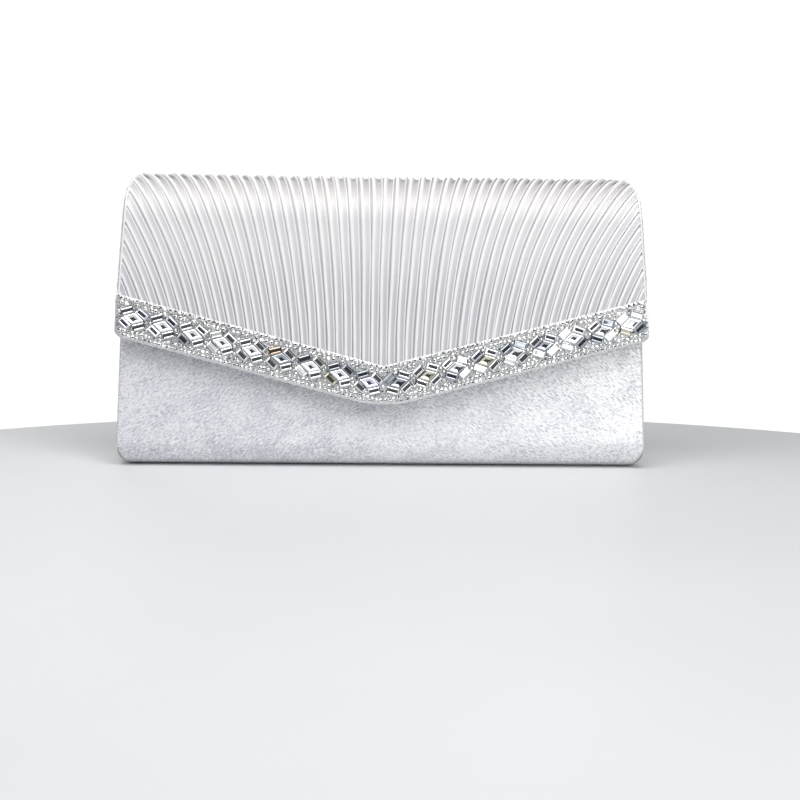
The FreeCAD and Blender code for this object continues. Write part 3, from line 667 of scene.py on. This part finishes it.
def build_back_cloth():
    """Plain satin of the back, carried over the hinge line onto the flap's fold."""
    section = case_section(FRONT_TOP, BACK_TOP, 0.0, 2.5)
    rows = [row for row in section if row[0] > BACK_CENTRE and row[1] > SEAM_Z - 1.0]
    y, z, ny, nz = rows[0]
    rows = [(y - depth, z - 0.6, ny, nz) for depth in (0.9, 0.5)] + rows
    half_way = mix(rows[-1][0], FOLD_Y + FLAP_BACK_R, 0.5) + 0.25
    rows.append((half_way, mix(BACK_TOP, BACK_Z, 0.5), 1.0, 0.0))
    for degrees, out in ((0, 0.45), (8, 0.45), (16, 0.45), (23, 0.45), (24.5, 0.15), (24.5, -0.15)):
        ny, nz = math.cos(math.radians(degrees)), math.sin(math.radians(degrees))
        radius = FLAP_BACK_R + out
        rows.append((FOLD_Y + radius * ny, BACK_Z + radius * nz, ny, nz))
    rows = np.array(rows)
    over = smooth((rows[:, 1] - BACK_TOP) / (BACK_Z - BACK_TOP))
    radii = np.full(len(rows), EDGE)

    def bulge(x, z, ny, nz):
        up = smooth((z - SEAM_Z) / 20) * smooth((BACK_TOP - z) / 15)
        return 0.1 * BACK_WAVES(x, z) * up + 0.15 * up

    points = wrapped_rows(rows, mix(case_half(rows[:, 1]), CREST_HALF + 2.9, over), radii, radii,
                          mix(6.0, 0.6, over), bulge)
    piece = sheet_mesh("back_cloth", points, SATIN)
    merge_close(piece, 0.002)
    declare_sheet()
    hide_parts("back_cover", "flap_hinge_tape")
    hinge_blend(piece)


build_back_cloth()


def lining_mesh(name, rows):
    """A lining cloth over rows of the section, a little eased off the wall."""
    across = np.linspace(-1, 1, 61)
    points = []
    for y, z, ny, nz in rows:
        x = across * (case_half(z) - 2.0 - 3.2 * max(0.0, -nz))
        depth = 0.18 + 0.12 * BACK_WAVES(x * 1.3, y + z) * (1 - np.abs(across) ** 6)
        points.append(np.stack([x, y - ny * depth, z - nz * depth], -1))
    piece = sheet_mesh(name, points, LINING)
    thicken(piece, 0.25)
    return piece


def build_lining():
    """The inside's lining: one cloth down the front wall, one over the base and up the back."""
    rows = case_section(FRONT_TOP - 3.5, BACK_TOP - 1.0, WALL + 0.12, 3.0)
    base_start = np.argmax(rows[:, 3] < -0.99)
    front = lining_mesh("front_lining_cloth", rows[: base_start + 4])
    declare_sheet()
    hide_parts("front_lining", "front_top_binding")
    fold_blend(front)
    back = lining_mesh("case_lining_cloth", rows[base_start + 2:])
    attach(back, "shell")
    declare_sheet()
    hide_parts("case_lining")


build_lining()


def build_gusset(side, word):
    """A side gusset: satin folded inward along its middle, deeper towards the top."""
    heights = np.concatenate([np.linspace(3.6, 14, 8), np.linspace(17, 104, 34)])
    across = np.linspace(0, 1, 33)
    waves = ripple(6, 0.12, 18, 50, 11 if side > 0 else 12)
    points = []
    for z in heights:
        front = front_y(z, WALL + 0.35)
        back = back_y(z, WALL + 0.35)
        if z < FRONT_BEND:
            squeeze = math.sqrt(max(0.0, FRONT_BEND**2 - (FRONT_BEND - z) ** 2))
            front = FRONT_CENTRE - squeeze + 4.5
            back = BACK_CENTRE + min(squeeze, BACK_BEND) - 3.8
        fold = mix(0.8, 21.5, smooth((z - 4) / 150) * 1.65)
        crease = np.sin(math.pi * across) ** mix(1.1, 0.75, z / 104)
        y = mix(front, back, across)
        x = case_half(z) - 2.3 - fold * crease + waves(y * 2, z)
        points.append(np.stack([side * x, y, np.full_like(x, z)], -1))
    piece = sheet_mesh("gusset_cloth_" + word, points, SATIN, flip=side > 0)
    thicken(piece, 0.45)
    declare_sheet()
    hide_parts("gusset_" + word)
    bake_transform(piece)


for side, word in SIDES:
    build_gusset(side, word)


# ---------------------------------------------------------------- the flap's lining and edge
def lower_end(share, inset):
    """Height where the flap's lower edge is, for a share of its width from the middle."""
    low = np.full_like(share, 60.0)
    for _ in range(30):
        low = flap_edge(share * (flap_half(low) - inset)) + inset
    return low


def build_flap_lining():
    """The flap's lining, over the board and round the inside of the fold."""
    share = np.linspace(-1, 1, 97)
    inset = 0.55
    low = lower_end(share, inset)
    points = []
    for t in np.linspace(0, 1, 76):
        w = low + (W_END - low) * t
        x = share * (flap_half(w) - inset)
        points.append(flap_point(x, w, -(FLAP_THICK - 0.2) + 0.05 * FRONT_WAVES(x, w)))
    piece = sheet_mesh("flap_lining_cloth", points, LINING, flip=True)
    thicken(piece, 0.3)
    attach(piece, "flap")
    declare_sheet(area=24500)
    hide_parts("flap_lining")


def build_hinge_lining():
    """The strip of lining that joins the flap's fold to the back wall, inside the hinge."""
    across = np.linspace(-1, 1, 61)
    half = CREST_HALF - 0.6
    inside = -(FLAP_THICK + 0.1)
    top = flap_point(across * half, W_CREST + 0.8 * (W_END - W_CREST), inside)
    fold = flap_point(across * half, W_END, inside)
    points = [mix(top, fold, t) for t in (0.0, 0.5, 1.0)]
    points[1][:, 1] += 0.6
    foot_z = BACK_TOP - 8.0
    for t in np.linspace(0, 1, 34)[1:]:
        row = fold.copy()
        row[:, 0] = across * mix(half, case_half(foot_z) - 2.4, t)
        row[:, 1] = mix(fold[0, 1], back_y(foot_z, WALL + 0.65), smooth(t))
        row[:, 2] = mix(fold[0, 2], foot_z, t)
        points.append(row)
    piece = sheet_mesh("hinge_lining_cloth", points, LINING, flip=True)
    thicken(piece, 0.3)
    declare_sheet()
    hinge_blend(piece)


build_flap_lining()
build_hinge_lining()


def flap_outline():
    """The flap's edge, from the fold on the left round the V to the fold on the right."""
    right = [(x, float(flap_edge(x))) for x in np.arange(0.0, CORNER_LOW[0], 1.0)]
    start = math.atan2(*(CORNER_LOW - CORNER_CENTRE)[::-1])
    end = math.atan2(*(CORNER_SIDE - CORNER_CENTRE)[::-1])
    for angle in np.linspace(start, end, 14):
        toward = np.array([math.cos(angle), math.sin(angle)])
        right.append(tuple(CORNER_CENTRE + FLAP_CORNER * toward))
    right += [(float(flap_half(w)), w) for w in np.arange(CORNER_SIDE[1] + 1.0, W_END - 0.5, 2.0)]
    left = [(-x, w) for x, w in right[:0:-1]]
    return np.array(left + right)


def build_piping():
    """A strip of satin rolled round the flap's edge: over the lining's rim on the inside, and
    tucked under the pleated cover on the outside. It shows as a thin line under the stones."""
    path = flap_outline()
    ahead = np.roll(path, -1, 0) - np.roll(path, 1, 0)
    ahead[0], ahead[-1] = path[1] - path[0], path[-1] - path[-2]
    ahead /= np.linalg.norm(ahead, axis=1)[:, None]
    outward = np.stack([ahead[:, 1], -ahead[:, 0]], -1)
    waves = ripple(5, 0.06, 6, 20, 21)
    reach = np.where(path[:, 1] > 80, 0.95, 1.12)
    rows = [(-3.9, -FLAP_THICK - 0.2), (-2.7, -FLAP_THICK - 0.2)]
    for angle in np.radians(np.linspace(-100, 100, 15)):
        side = reach * math.cos(angle) + waves(path[:, 0], path[:, 1]) - 1.15
        rows.append((side, -FLAP_THICK / 2 + (FLAP_THICK / 2 + 0.02) * math.sin(angle)))
    rows += [(-1.45, -0.5), (-1.5, -1.25), (-2.7, -1.35), (-3.9, -1.35)]
    rings = []
    for side, out in rows:
        spot = path + outward * np.reshape(side, (-1, 1))
        rings.append(flap_point(spot[:, 0], spot[:, 1], out))
    piece = sheet_mesh("flap_edge_piping", rings, SATIN)
    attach(piece, "flap")
    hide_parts("flap_edge_binding")
    declare_sheet()


build_piping()


# ---------------------------------------------------------------- crystals
PITCH = 13.5  # from one motif to the next
LINE = 9.9  # height of the motifs' middles above the V's edge
RHOMB_SIDE, RHOMB_TURN = 5.75, math.radians(30)
BAR_LONG, BAR_WIDE = 5.5, 2.9
GAP_BETWEEN = 0.2
BACKING = 0.5
BAND_TOP = 18.75
SEAT = BACKING + 0.55
CORNERS = [(-1, -1), (-1, 1), (1, -1), (1, 1)]


def turned(centre, turn, a, b):
    """The point a along and b across a stone with this centre and turn."""
    c, s = math.cos(turn), math.sin(turn)
    return centre + np.array([c * a - s * b, s * a + c * b])


def arm_point(side, along, up):
    """A point of one arm of the V: along it from the corner's bisector, and up across it."""
    skewed = along - up * math.tan(SLOPE)
    return np.array([
        side * skewed * math.cos(SLOPE), TIP + up / math.cos(SLOPE) + skewed * math.sin(SLOPE)])


class Stones:
    """Gathers many faceted stones into one mesh, each with its own tint."""

    def __init__(self):
        self.points, self.faces, self.tints = [], [], []

    def add(self, loops, centre, turn, tint, tilt=(0.0, 0.0)):
        """Stacks outline loops (points and height), closed by the last one as a table."""
        start = len(self.points)
        count = len(loops[0][0])
        for outline, height in loops:
            for a, b in outline:
                x, w = turned(centre, turn, a, b)
                self.points.append(flap_point(x, w, height + tilt[0] * a + tilt[1] * b))
                self.tints.append((*tint, 1.0))
        for i in range(len(loops) - 1):
            low, high = start + i * count, start + (i + 1) * count
            for j in range(count):
                k = (j + 1) % count
                self.faces.append((low + j, low + k, high + k, high + j))
        last = start + (len(loops) - 1) * count
        self.faces.append(tuple(range(last, last + count)))

    def piece(self, name, material, slot, *nodes):
        piece = make_mesh(name, np.array(self.points), self.faces, material, smooth_faces=False)
        paint(piece, "tint", self.tints)
        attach(piece, "flap")
        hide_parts(*nodes)


def bar_outline(length, width):
    a, b = length / 2, width / 2
    return [(-a, -b), (a, -b), (a, b), (-a, b)]


def rhomb_outline(side):
    a, b = side * math.cos(RHOMB_TURN), side * math.sin(RHOMB_TURN)
    return [(0, -b), (a, 0), (0, b), (-a, 0)]


def ring_outline(radius, sides, phase=0.0):
    angles = [phase + 2 * math.pi * k / sides for k in range(sides)]
    return [(radius * math.cos(a), radius * math.sin(a)) for a in angles]


def motifs():
    """Each motif's centre and turn, from the V's corner outward on both arms."""
    return [
        (side, arm_point(side, (k + 0.5) * PITCH + LINE * math.tan(SLOPE), LINE), side * SLOPE)
        for side in (-1, 1) for k in range(9)
    ]


def baguettes():
    """The four baguettes round each rhomb."""
    clear = BAR_WIDE / 2 + GAP_BETWEEN
    a = RHOMB_SIDE * math.cos(RHOMB_TURN) / 2 + clear * math.sin(RHOMB_TURN)
    b = RHOMB_SIDE * math.sin(RHOMB_TURN) / 2 + clear * math.cos(RHOMB_TURN)
    return [
        (turned(centre, turn, sx * a, sy * b), turn - sx * sy * RHOMB_TURN)
        for _, centre, turn in motifs() for sx, sy in CORNERS
    ]


# Per-stone tints: near-white clear stones, and olive, amber, lavender and dark grey ones that are painted
# reflections of the surroundings.
TINTS_AND_PAINTED_REFLECTIONS = [(0.97, 0.98, 1.0), (0.93, 0.95, 0.93), (0.74, 0.72, 0.58), (0.68, 0.52, 0.40),
         (0.76, 0.74, 0.88), (0.42, 0.45, 0.50)]
REFLECTION_TINT_SHARE = [0.56, 0.14, 0.07, 0.03, 0.02, 0.18]


def pick_painted_reflection_tint():
    tint = np.array(TINTS_AND_PAINTED_REFLECTIONS[RNG.choice(len(TINTS_AND_PAINTED_REFLECTIONS), p=REFLECTION_TINT_SHARE)])
    return tuple(np.clip(tint * RNG.uniform(0.92, 1.04), 0, 1))


BAR_CUT = [  # inset from the outline, height: girdle, two steps of crown, table, middle
    (0.0, -0.40), (0.0, 0.75), (0.2, 0.92), (0.42, 1.05), (0.56, 1.04), (0.72, 0.93),
]
CENTRE_CUT = [  # share of the rhomb's side, height: girdle, crown, table, pavilion seen through it
    (1.00, -0.40), (1.00, 0.75), (0.91, 0.93), (0.80, 1.05), (0.72, 1.05), (0.50, 0.80),
    (0.30, 0.66), (0.27, 0.66),
]


def build_cut_stones():
    bars = Stones()
    for centre, turn in baguettes():
        long, wide = BAR_LONG - 0.1 + RNG.uniform(-0.12, 0.12), BAR_WIDE - 0.05
        loops = [(bar_outline(long - 2 * inset, wide - 2 * inset), SEAT + height)
                 for inset, height in BAR_CUT]
        tilt = RNG.normal(0, 0.06, 2)
        bars.add(loops, centre + RNG.normal(0, 0.06, 2), turn + RNG.normal(0, 0.03), pick_painted_reflection_tint(), tilt)
    bars.piece("baguette_stones", CRYSTAL, "crystal", "baguette_crystals")
    centres = Stones()
    for _, centre, turn in motifs():
        loops = [(rhomb_outline((RHOMB_SIDE - 0.3) * share), SEAT + height)
                 for share, height in CENTRE_CUT]
        tilt = RNG.normal(0, 0.04, 2)
        centres.add(loops, centre, turn + RNG.normal(0, 0.02), pick_painted_reflection_tint(), tilt)
    centres.piece("centre_stones", CRYSTAL, "crystal", "centre_crystals")


def build_settings():
    """Metal cups under the cut stones, with claws over the baguettes' corners."""
    cups = Stones()
    white = (1.0, 1.0, 1.0)

    def cup(outline, inner, rim, centre, turn):
        cups.add([(outline, BACKING - 0.1), (outline, SEAT + rim), (inner, SEAT + rim)],
                 centre, turn, white)

    claw = [(ring_outline(radius, 6), SEAT + height)
            for radius, height in ((0.26, 0.0), (0.24, 0.5), (0.12, 0.66))]
    for centre, turn in baguettes():
        cup(bar_outline(BAR_LONG, BAR_WIDE), bar_outline(BAR_LONG - 0.5, BAR_WIDE - 0.5), 0.22,
            centre, turn)
        for sx, sy in CORNERS:
            spot = turned(centre, turn, sx * (BAR_LONG / 2 - 0.55), sy * (BAR_WIDE / 2 - 0.12))
            cups.add(claw, spot, turn, white)
    side = RHOMB_SIDE - 0.1
    for _, centre, turn in motifs():
        cup(rhomb_outline(side), rhomb_outline(side - 0.6), 0.2, centre, turn)
    cups.piece("stone_settings", MESH_METAL, "silver_mesh", "baguette_settings", "centre_settings")


def round_cut(radius, tall):
    """A small brilliant: girdle, eight crown facets turned between them, a table."""
    sides = 8
    phase = math.pi / sides
    return [
        (ring_outline(radius * 0.92, sides), BACKING - 0.05),
        (ring_outline(radius, sides), BACKING + 0.45 * tall),
        (ring_outline(radius * 0.78, sides, phase * 0.5), BACKING + 0.78 * tall),
        (ring_outline(radius * 0.40, sides, phase), BACKING + tall),
    ]


def band_depth(spot):
    """How far a point lies inside the band's own outline."""
    x, w = abs(spot[0]), spot[1]
    under = (w - float(flap_edge(x))) * math.cos(SLOPE)
    if x > CORNER_CENTRE[0]:
        if w < CORNER_CENTRE[1]:
            under = FLAP_CORNER - math.hypot(x - CORNER_CENTRE[0], w - CORNER_CENTRE[1])
        else:
            under = 99.0
    side = float(flap_half(w)) - x
    top = BAND_TOP - (w - TIP - x * math.tan(SLOPE)) * math.cos(SLOPE)
    return min(under - 0.8, side - 0.8, top)


def line_spots(pitch, up, half=126.0):
    count = int(half / pitch)
    return [
        arm_point(side, (k + 0.5) * pitch + up * math.tan(SLOPE), up)
        for side in (-1, 1) for k in range(count)
    ]


def notch_spots():
    """Small stones in the gaps between neighbouring motifs, and in the V's corner."""
    base = [(-0.95, 0), (0.95, 0)]
    base += [(k * 1.8, up * (4.1 if k else 3.5)) for up in (-1, 1) for k in (-1, 0, 1)]
    base += [(0, -1.76), (0, 1.76), (PITCH / 2, 4.35), (PITCH / 2, -4.35)]
    corner = [(0, -5.2), (-1, -3.5), (1, -3.5), (-0.95, -1.7), (0.95, -1.7), (0, 0), (0, 4.4)]
    spots = [np.array([a, TIP + (LINE + up) / math.cos(SLOPE)]) for a, up in corner]
    shift = LINE * math.tan(SLOPE)
    for side, _ in SIDES:
        for k in range(10):
            spots += [arm_point(side, k * PITCH + along + shift, LINE + up)
                      for along, up in base if k or along > 5]
    return spots


def taken_spots():
    """Discs that stand for the cut stones: centres and radii."""
    discs = []
    for centre, turn in baguettes():
        for step in np.linspace(-1, 1, 5):
            spot = turned(centre, turn, step * (BAR_LONG - BAR_WIDE) / 2, 0)
            discs.append((*spot, BAR_WIDE / 2))
        for sx, sy in CORNERS:
            spot = turned(centre, turn, sx * (BAR_LONG / 2 - 0.5), sy * (BAR_WIDE / 2 - 0.5))
            discs.append((*spot, 0.5))
    for _, centre, turn in motifs():
        for step, radius in ((0, 2.2), (-2.2, 1.1), (2.2, 1.1), (-3.6, 0.5), (3.6, 0.5)):
            discs.append((*turned(centre, turn, step, 0), radius))
    return discs


def clearance(discs, spot):
    """How far a point is from the nearest disc's rim."""
    return (np.hypot(discs[:, 0] - spot[0], discs[:, 1] - spot[1]) - discs[:, 2]).min()


def filler_spots(discs, radius):
    """Small stones wherever one still fits, tried over a fine grid."""
    found = []
    step = 0.42
    for x in np.arange(-REACH, REACH + 0.1, step):
        for up in np.arange(1.4, BAND_TOP, step):
            spot = np.array([x, TIP + abs(x) * math.tan(SLOPE) + up / math.cos(SLOPE)])
            if band_depth(spot) < radius - 0.1 or clearance(discs, spot) < radius - 0.05:
                continue
            found.append(spot)
            discs = np.vstack([discs, (*spot, radius)])
    return found, discs


def add_round(stones, spot, radius):
    size = radius * RNG.uniform(0.95, 1.03)
    tint = np.clip(np.array([0.97, 0.965, 0.95]) * RNG.uniform(0.88, 1.05), 0, 1)
    stones.add(round_cut(size, 1.2 * RNG.uniform(0.92, 1.06)), spot + RNG.normal(0, 0.04, 2),
               RNG.uniform(0, math.pi), tuple(tint), RNG.normal(0, 0.15, 2))


def build_round_stones():
    """Two rows above the motifs, two below, the notches' groups, and fillers in the gaps."""
    groups = (
        ("upper_stones", 1.02, [s for up in (15.75, 17.7) for s in line_spots(2.2, up)],
         ("upper_inner_stones", "upper_edge_stones")),
        ("lower_stones", 0.95, [s for up in (1.85, 3.75) for s in line_spots(2.0, up)],
         ("lower_edge_stones", "lower_inner_stones")),
        ("small_stones", 0.8, notch_spots(), ("notch_stones",)),
    )
    discs = np.array(taken_spots())
    for name, radius, spots, nodes in groups:
        stones = Stones()
        for spot in spots:
            if band_depth(spot) < radius - 0.08 or clearance(discs, spot) < radius - 0.3:
                continue
            add_round(stones, spot, radius)
            discs = np.vstack([discs, (*spot, radius)])
        for size in (0.78, 0.58) if name == "small_stones" else ():
            extra, discs = filler_spots(discs, size)
            for spot in extra:
                add_round(stones, spot, size)
        stones.piece(name, CRYSTAL, "crystal", *nodes)


def build_backing():
    """The metal mesh under the stones, with a slightly raised rim."""
    share = np.linspace(-1, 1, 241)
    inset = 0.8
    low = lower_end(share, inset)
    x = share * (flap_half(low) - inset)
    high = TIP + np.abs(x) * math.tan(SLOPE) + BAND_TOP / math.cos(SLOPE)
    rim = [(0.0, -0.4), (0.0, 0.35), (0.02, BACKING), (0.98, BACKING), (1.0, 0.35), (1.0, -0.4)]
    rows = [flap_point(x, mix(low, high, t), out) for t, out in rim]
    piece = sheet_mesh("band_backing", rows, MESH_METAL)
    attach(piece, "flap")
    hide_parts("crystal_band_backing")


build_backing()
build_cut_stones()
build_settings()
build_round_stones()


# ---------------------------------------------------------------- inside fittings
def build_pocket():
    """The slip pocket on the back lining, a little open at the top, with a bound edge."""
    low, high = box_mm("slip_pocket")
    top = box_mm("slip_pocket_binding")[1][2]
    half = high[0]
    across = np.linspace(-1, 1, 41)

    def off_wall(z, share):
        """How the pocket stands off the lining, more towards its open top."""
        gap = 0.55 + 1.3 * share**1.5 * np.clip(1 - across**4, 0, 1)
        return back_y(z, WALL + 0.3) - gap

    points = []
    for z in np.linspace(low[2], top - 0.6, 24):
        t = (z - low[2]) / (top - low[2])
        x = across * half * mix(1.0, 0.985, math.sin(math.pi * t))
        points.append(np.stack([x, off_wall(z, t), np.full_like(x, z)], -1))
    piece = sheet_mesh("pocket_cloth", points, LINING)
    thicken(piece, 0.5)
    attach(piece, "shell")
    declare_sheet()
    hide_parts("slip_pocket")

    thick, tall = 0.75, 2.6
    x = across * half * 1.003
    rings = []
    for angle in np.linspace(-0.5 * math.pi, 1.5 * math.pi, 17)[:-1]:
        y = off_wall(top, 1.0) - thick * math.cos(angle)
        rings.append(np.stack([x, y, np.full_like(x, top - 2.8 + tall * math.sin(angle))], -1))
    binding = sheet_mesh("pocket_binding_cloth", rings + rings[:1], SATIN)
    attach(binding, "shell")
    declare_sheet()
    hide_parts("slip_pocket_binding")


build_pocket()


def build_patch():
    """The cloth disc over the snap's washer, with a turned edge."""
    low, high = box_mm("snap_socket_patch")
    centre = (low + high) / 2
    radius = (high[0] - low[0]) / 2
    normal = np.array([0, math.cos(LEAN), -math.sin(LEAN)])
    up = np.array([0, math.sin(LEAN), math.cos(LEAN)])
    right = np.array([1.0, 0, 0])
    foot = centre - normal * 0.45
    profile = [(0.0, 1.0), (0.5, 1.0), (0.8, 0.98), (0.9, 0.8), (0.94, 0.74), (0.97, 0.85),
               (1.0, 0.7), (1.01, 0.35), (1.0, 0.05)]
    points, around = [], 72
    for share, height in profile:
        for k in range(around):
            a = 2 * math.pi * k / around
            spot = foot + radius * share * (right * math.cos(a) + up * math.sin(a))
            points.append(spot + normal * (height * 0.95 + 0.03 * math.sin(9 * a) * share))
    piece = make_mesh("snap_patch_cloth", points,
                      grid_faces(len(profile), around, wrap=True, flip=True), LINING)
    merge_close(piece, 0.002)
    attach(piece, "front")
    declare_sheet(area=314)
    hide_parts("snap_socket_patch")


build_patch()


def build_loop(word):
    """A satin tab round the ring's bar, its two ends sewn to the back lining above."""
    low, high = box_mm("strap_loop_" + word)
    x, y, z = np.array(pivot(f"ring_{word}_swing")) / MM
    wall = back_y(high[2], WALL + 0.3)
    reach, thick = 1.4, 0.45
    profile = [(wall - 0.9, high[2]), (wall - 0.95, mix(z, high[2], 0.5)), (y + reach * 0.9, z + 2.0)]
    for angle in np.radians(np.linspace(-250, 60, 22)):
        profile.append((y - reach * math.cos(angle), z + reach * math.sin(angle)))
    across = x + np.linspace(-0.5, 0.5, 9) * (high[0] - low[0])
    points = [np.stack([across, 0 * across + a, 0 * across + b], -1) for a, b in profile]
    piece = sheet_mesh("strap_tab_" + word, points, SATIN)
    thicken(piece, thick)
    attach(piece, "shell")
    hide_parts("strap_loop_" + word)


for _, word in SIDES:
    build_loop(word)


# ---------------------------------------------------------------- stage, light, camera
def build_stage():
    """A pale round table top, a little to the right and mostly in front of the bag."""
    plain = Nodes("pale_floor", roughness=0.5, specular_ior_level=0.25)
    veins = plain.noise((3, 3, 3), 5.0)
    colour = plain.ramp(veins, [(0.3, (0.67, 0.69, 0.695)), (0.7, (0.72, 0.735, 0.74))])
    centre = (20.0, -330.0)
    radius, rim, thick = 450.0, 6.0, 30.0
    rings = [(radius * k / 6, 0.0) for k in range(7)]
    for a in np.linspace(0, math.pi / 2, 6)[1:]:
        rings.append((radius + rim * math.sin(a), -rim * (1 - math.cos(a))))
    rings.append((radius + rim, -thick))
    around = 160
    points = []
    for r, z in rings:
        for k in range(around):
            a = 2 * math.pi * k / around
            points.append((centre[0] + r * math.cos(a), centre[1] + r * math.sin(a), z - 0.02))
    floor = make_mesh("floor", points, grid_faces(len(rings), around, wrap=True), plain.finish(colour))


def area_light(name, place, target, size, power):
    data = bpy.data.lights.new(name, "AREA")
    data.shape = "RECTANGLE"
    data.size, data.size_y = size[0] * MM, size[1] * MM
    data.energy = power
    lamp = bpy.data.objects.new(name, data)
    lamp.location = Vector(place) * MM
    lamp.rotation_euler = (Vector(target) * MM - lamp.location).to_track_quat("-Z", "Y").to_euler()
    bpy.context.scene.collection.objects.link(lamp)


def build_light():
    """Soft panels round the bag, and a world that is bright only behind it."""
    world = bpy.data.worlds.new("studio")
    world.use_nodes = True
    tree = world.node_tree
    background = tree.nodes["Background"]
    background.inputs["Color"].default_value = (0.93, 0.95, 1.0, 1)
    background.inputs["Strength"].default_value = 0.09
    backdrop = tree.nodes.new("ShaderNodeBackground")
    backdrop.inputs["Strength"].default_value = 1.3
    path = tree.nodes.new("ShaderNodeLightPath")
    choose = tree.nodes.new("ShaderNodeMixShader")
    tree.links.new(path.outputs["Is Camera Ray"], choose.inputs["Fac"])
    tree.links.new(background.outputs["Background"], choose.inputs[1])
    tree.links.new(backdrop.outputs["Background"], choose.inputs[2])
    tree.links.new(choose.outputs["Shader"], tree.nodes["World Output"].inputs["Surface"])
    bpy.context.scene.world = world
    middle = (0, 0, 60)
    area_light("left_panel", (-820, -380, 700), middle, (700, 620), 2.6)
    area_light("right_panel", (460, -760, 700), middle, (540, 620), 3.0)
    area_light("low_panel", (420, -740, 190), (100, 0, 60), (400, 260), 0.7)
    area_light("top_panel", (0, -380, 880), middle, (1100, 500), 7.7)
    area_light("rear_panel", (-100, 700, 420), middle, (700, 500), 1.5)


def build_camera():
    data = bpy.data.cameras.new("camera")
    data.sensor_width = 36.0
    data.lens = 71.19
    camera = bpy.data.objects.new("camera", data)
    pitch, yaw, roll = (math.radians(a) for a in (9.59, 2.67, 0.89))
    level = math.cos(pitch)
    forward = Vector((math.sin(yaw) * level, math.cos(yaw) * level, -math.sin(pitch)))
    right = Vector((math.cos(yaw), -math.sin(yaw), 0))
    up = right.cross(forward)
    turned_right = right * math.cos(roll) + up * math.sin(roll)
    turned_up = up * math.cos(roll) - right * math.sin(roll)
    matrix = Matrix((turned_right, turned_up, -forward)).transposed().to_4x4()
    matrix.translation = Vector((-25.0, -720.0, 150.0)) * MM
    camera.matrix_world = matrix
    bpy.context.scene.collection.objects.link(camera)
    bpy.context.scene.camera = camera
    bpy.context.scene.view_settings.view_transform = "Standard"


build_stage()
build_light()
build_camera()

CAD_LOOKS = {
    "case_board": BOARD, "front_board": BOARD, "flap_board": BOARD,
    "snap_socket_shell": SILVER, "snap_socket_plate": STEEL, "snap_socket_washer": STEEL,
    "snap_socket_magnet": MAGNET, "snap_stud": SILVER, "snap_stud_washer": STEEL,
    "strap_ring_left": SILVER, "strap_ring_right": SILVER,
}
for name, look in CAD_LOOKS.items():
    node = frame["nodes"][name]
    node.data.materials.clear()
    node.data.materials.append(look)
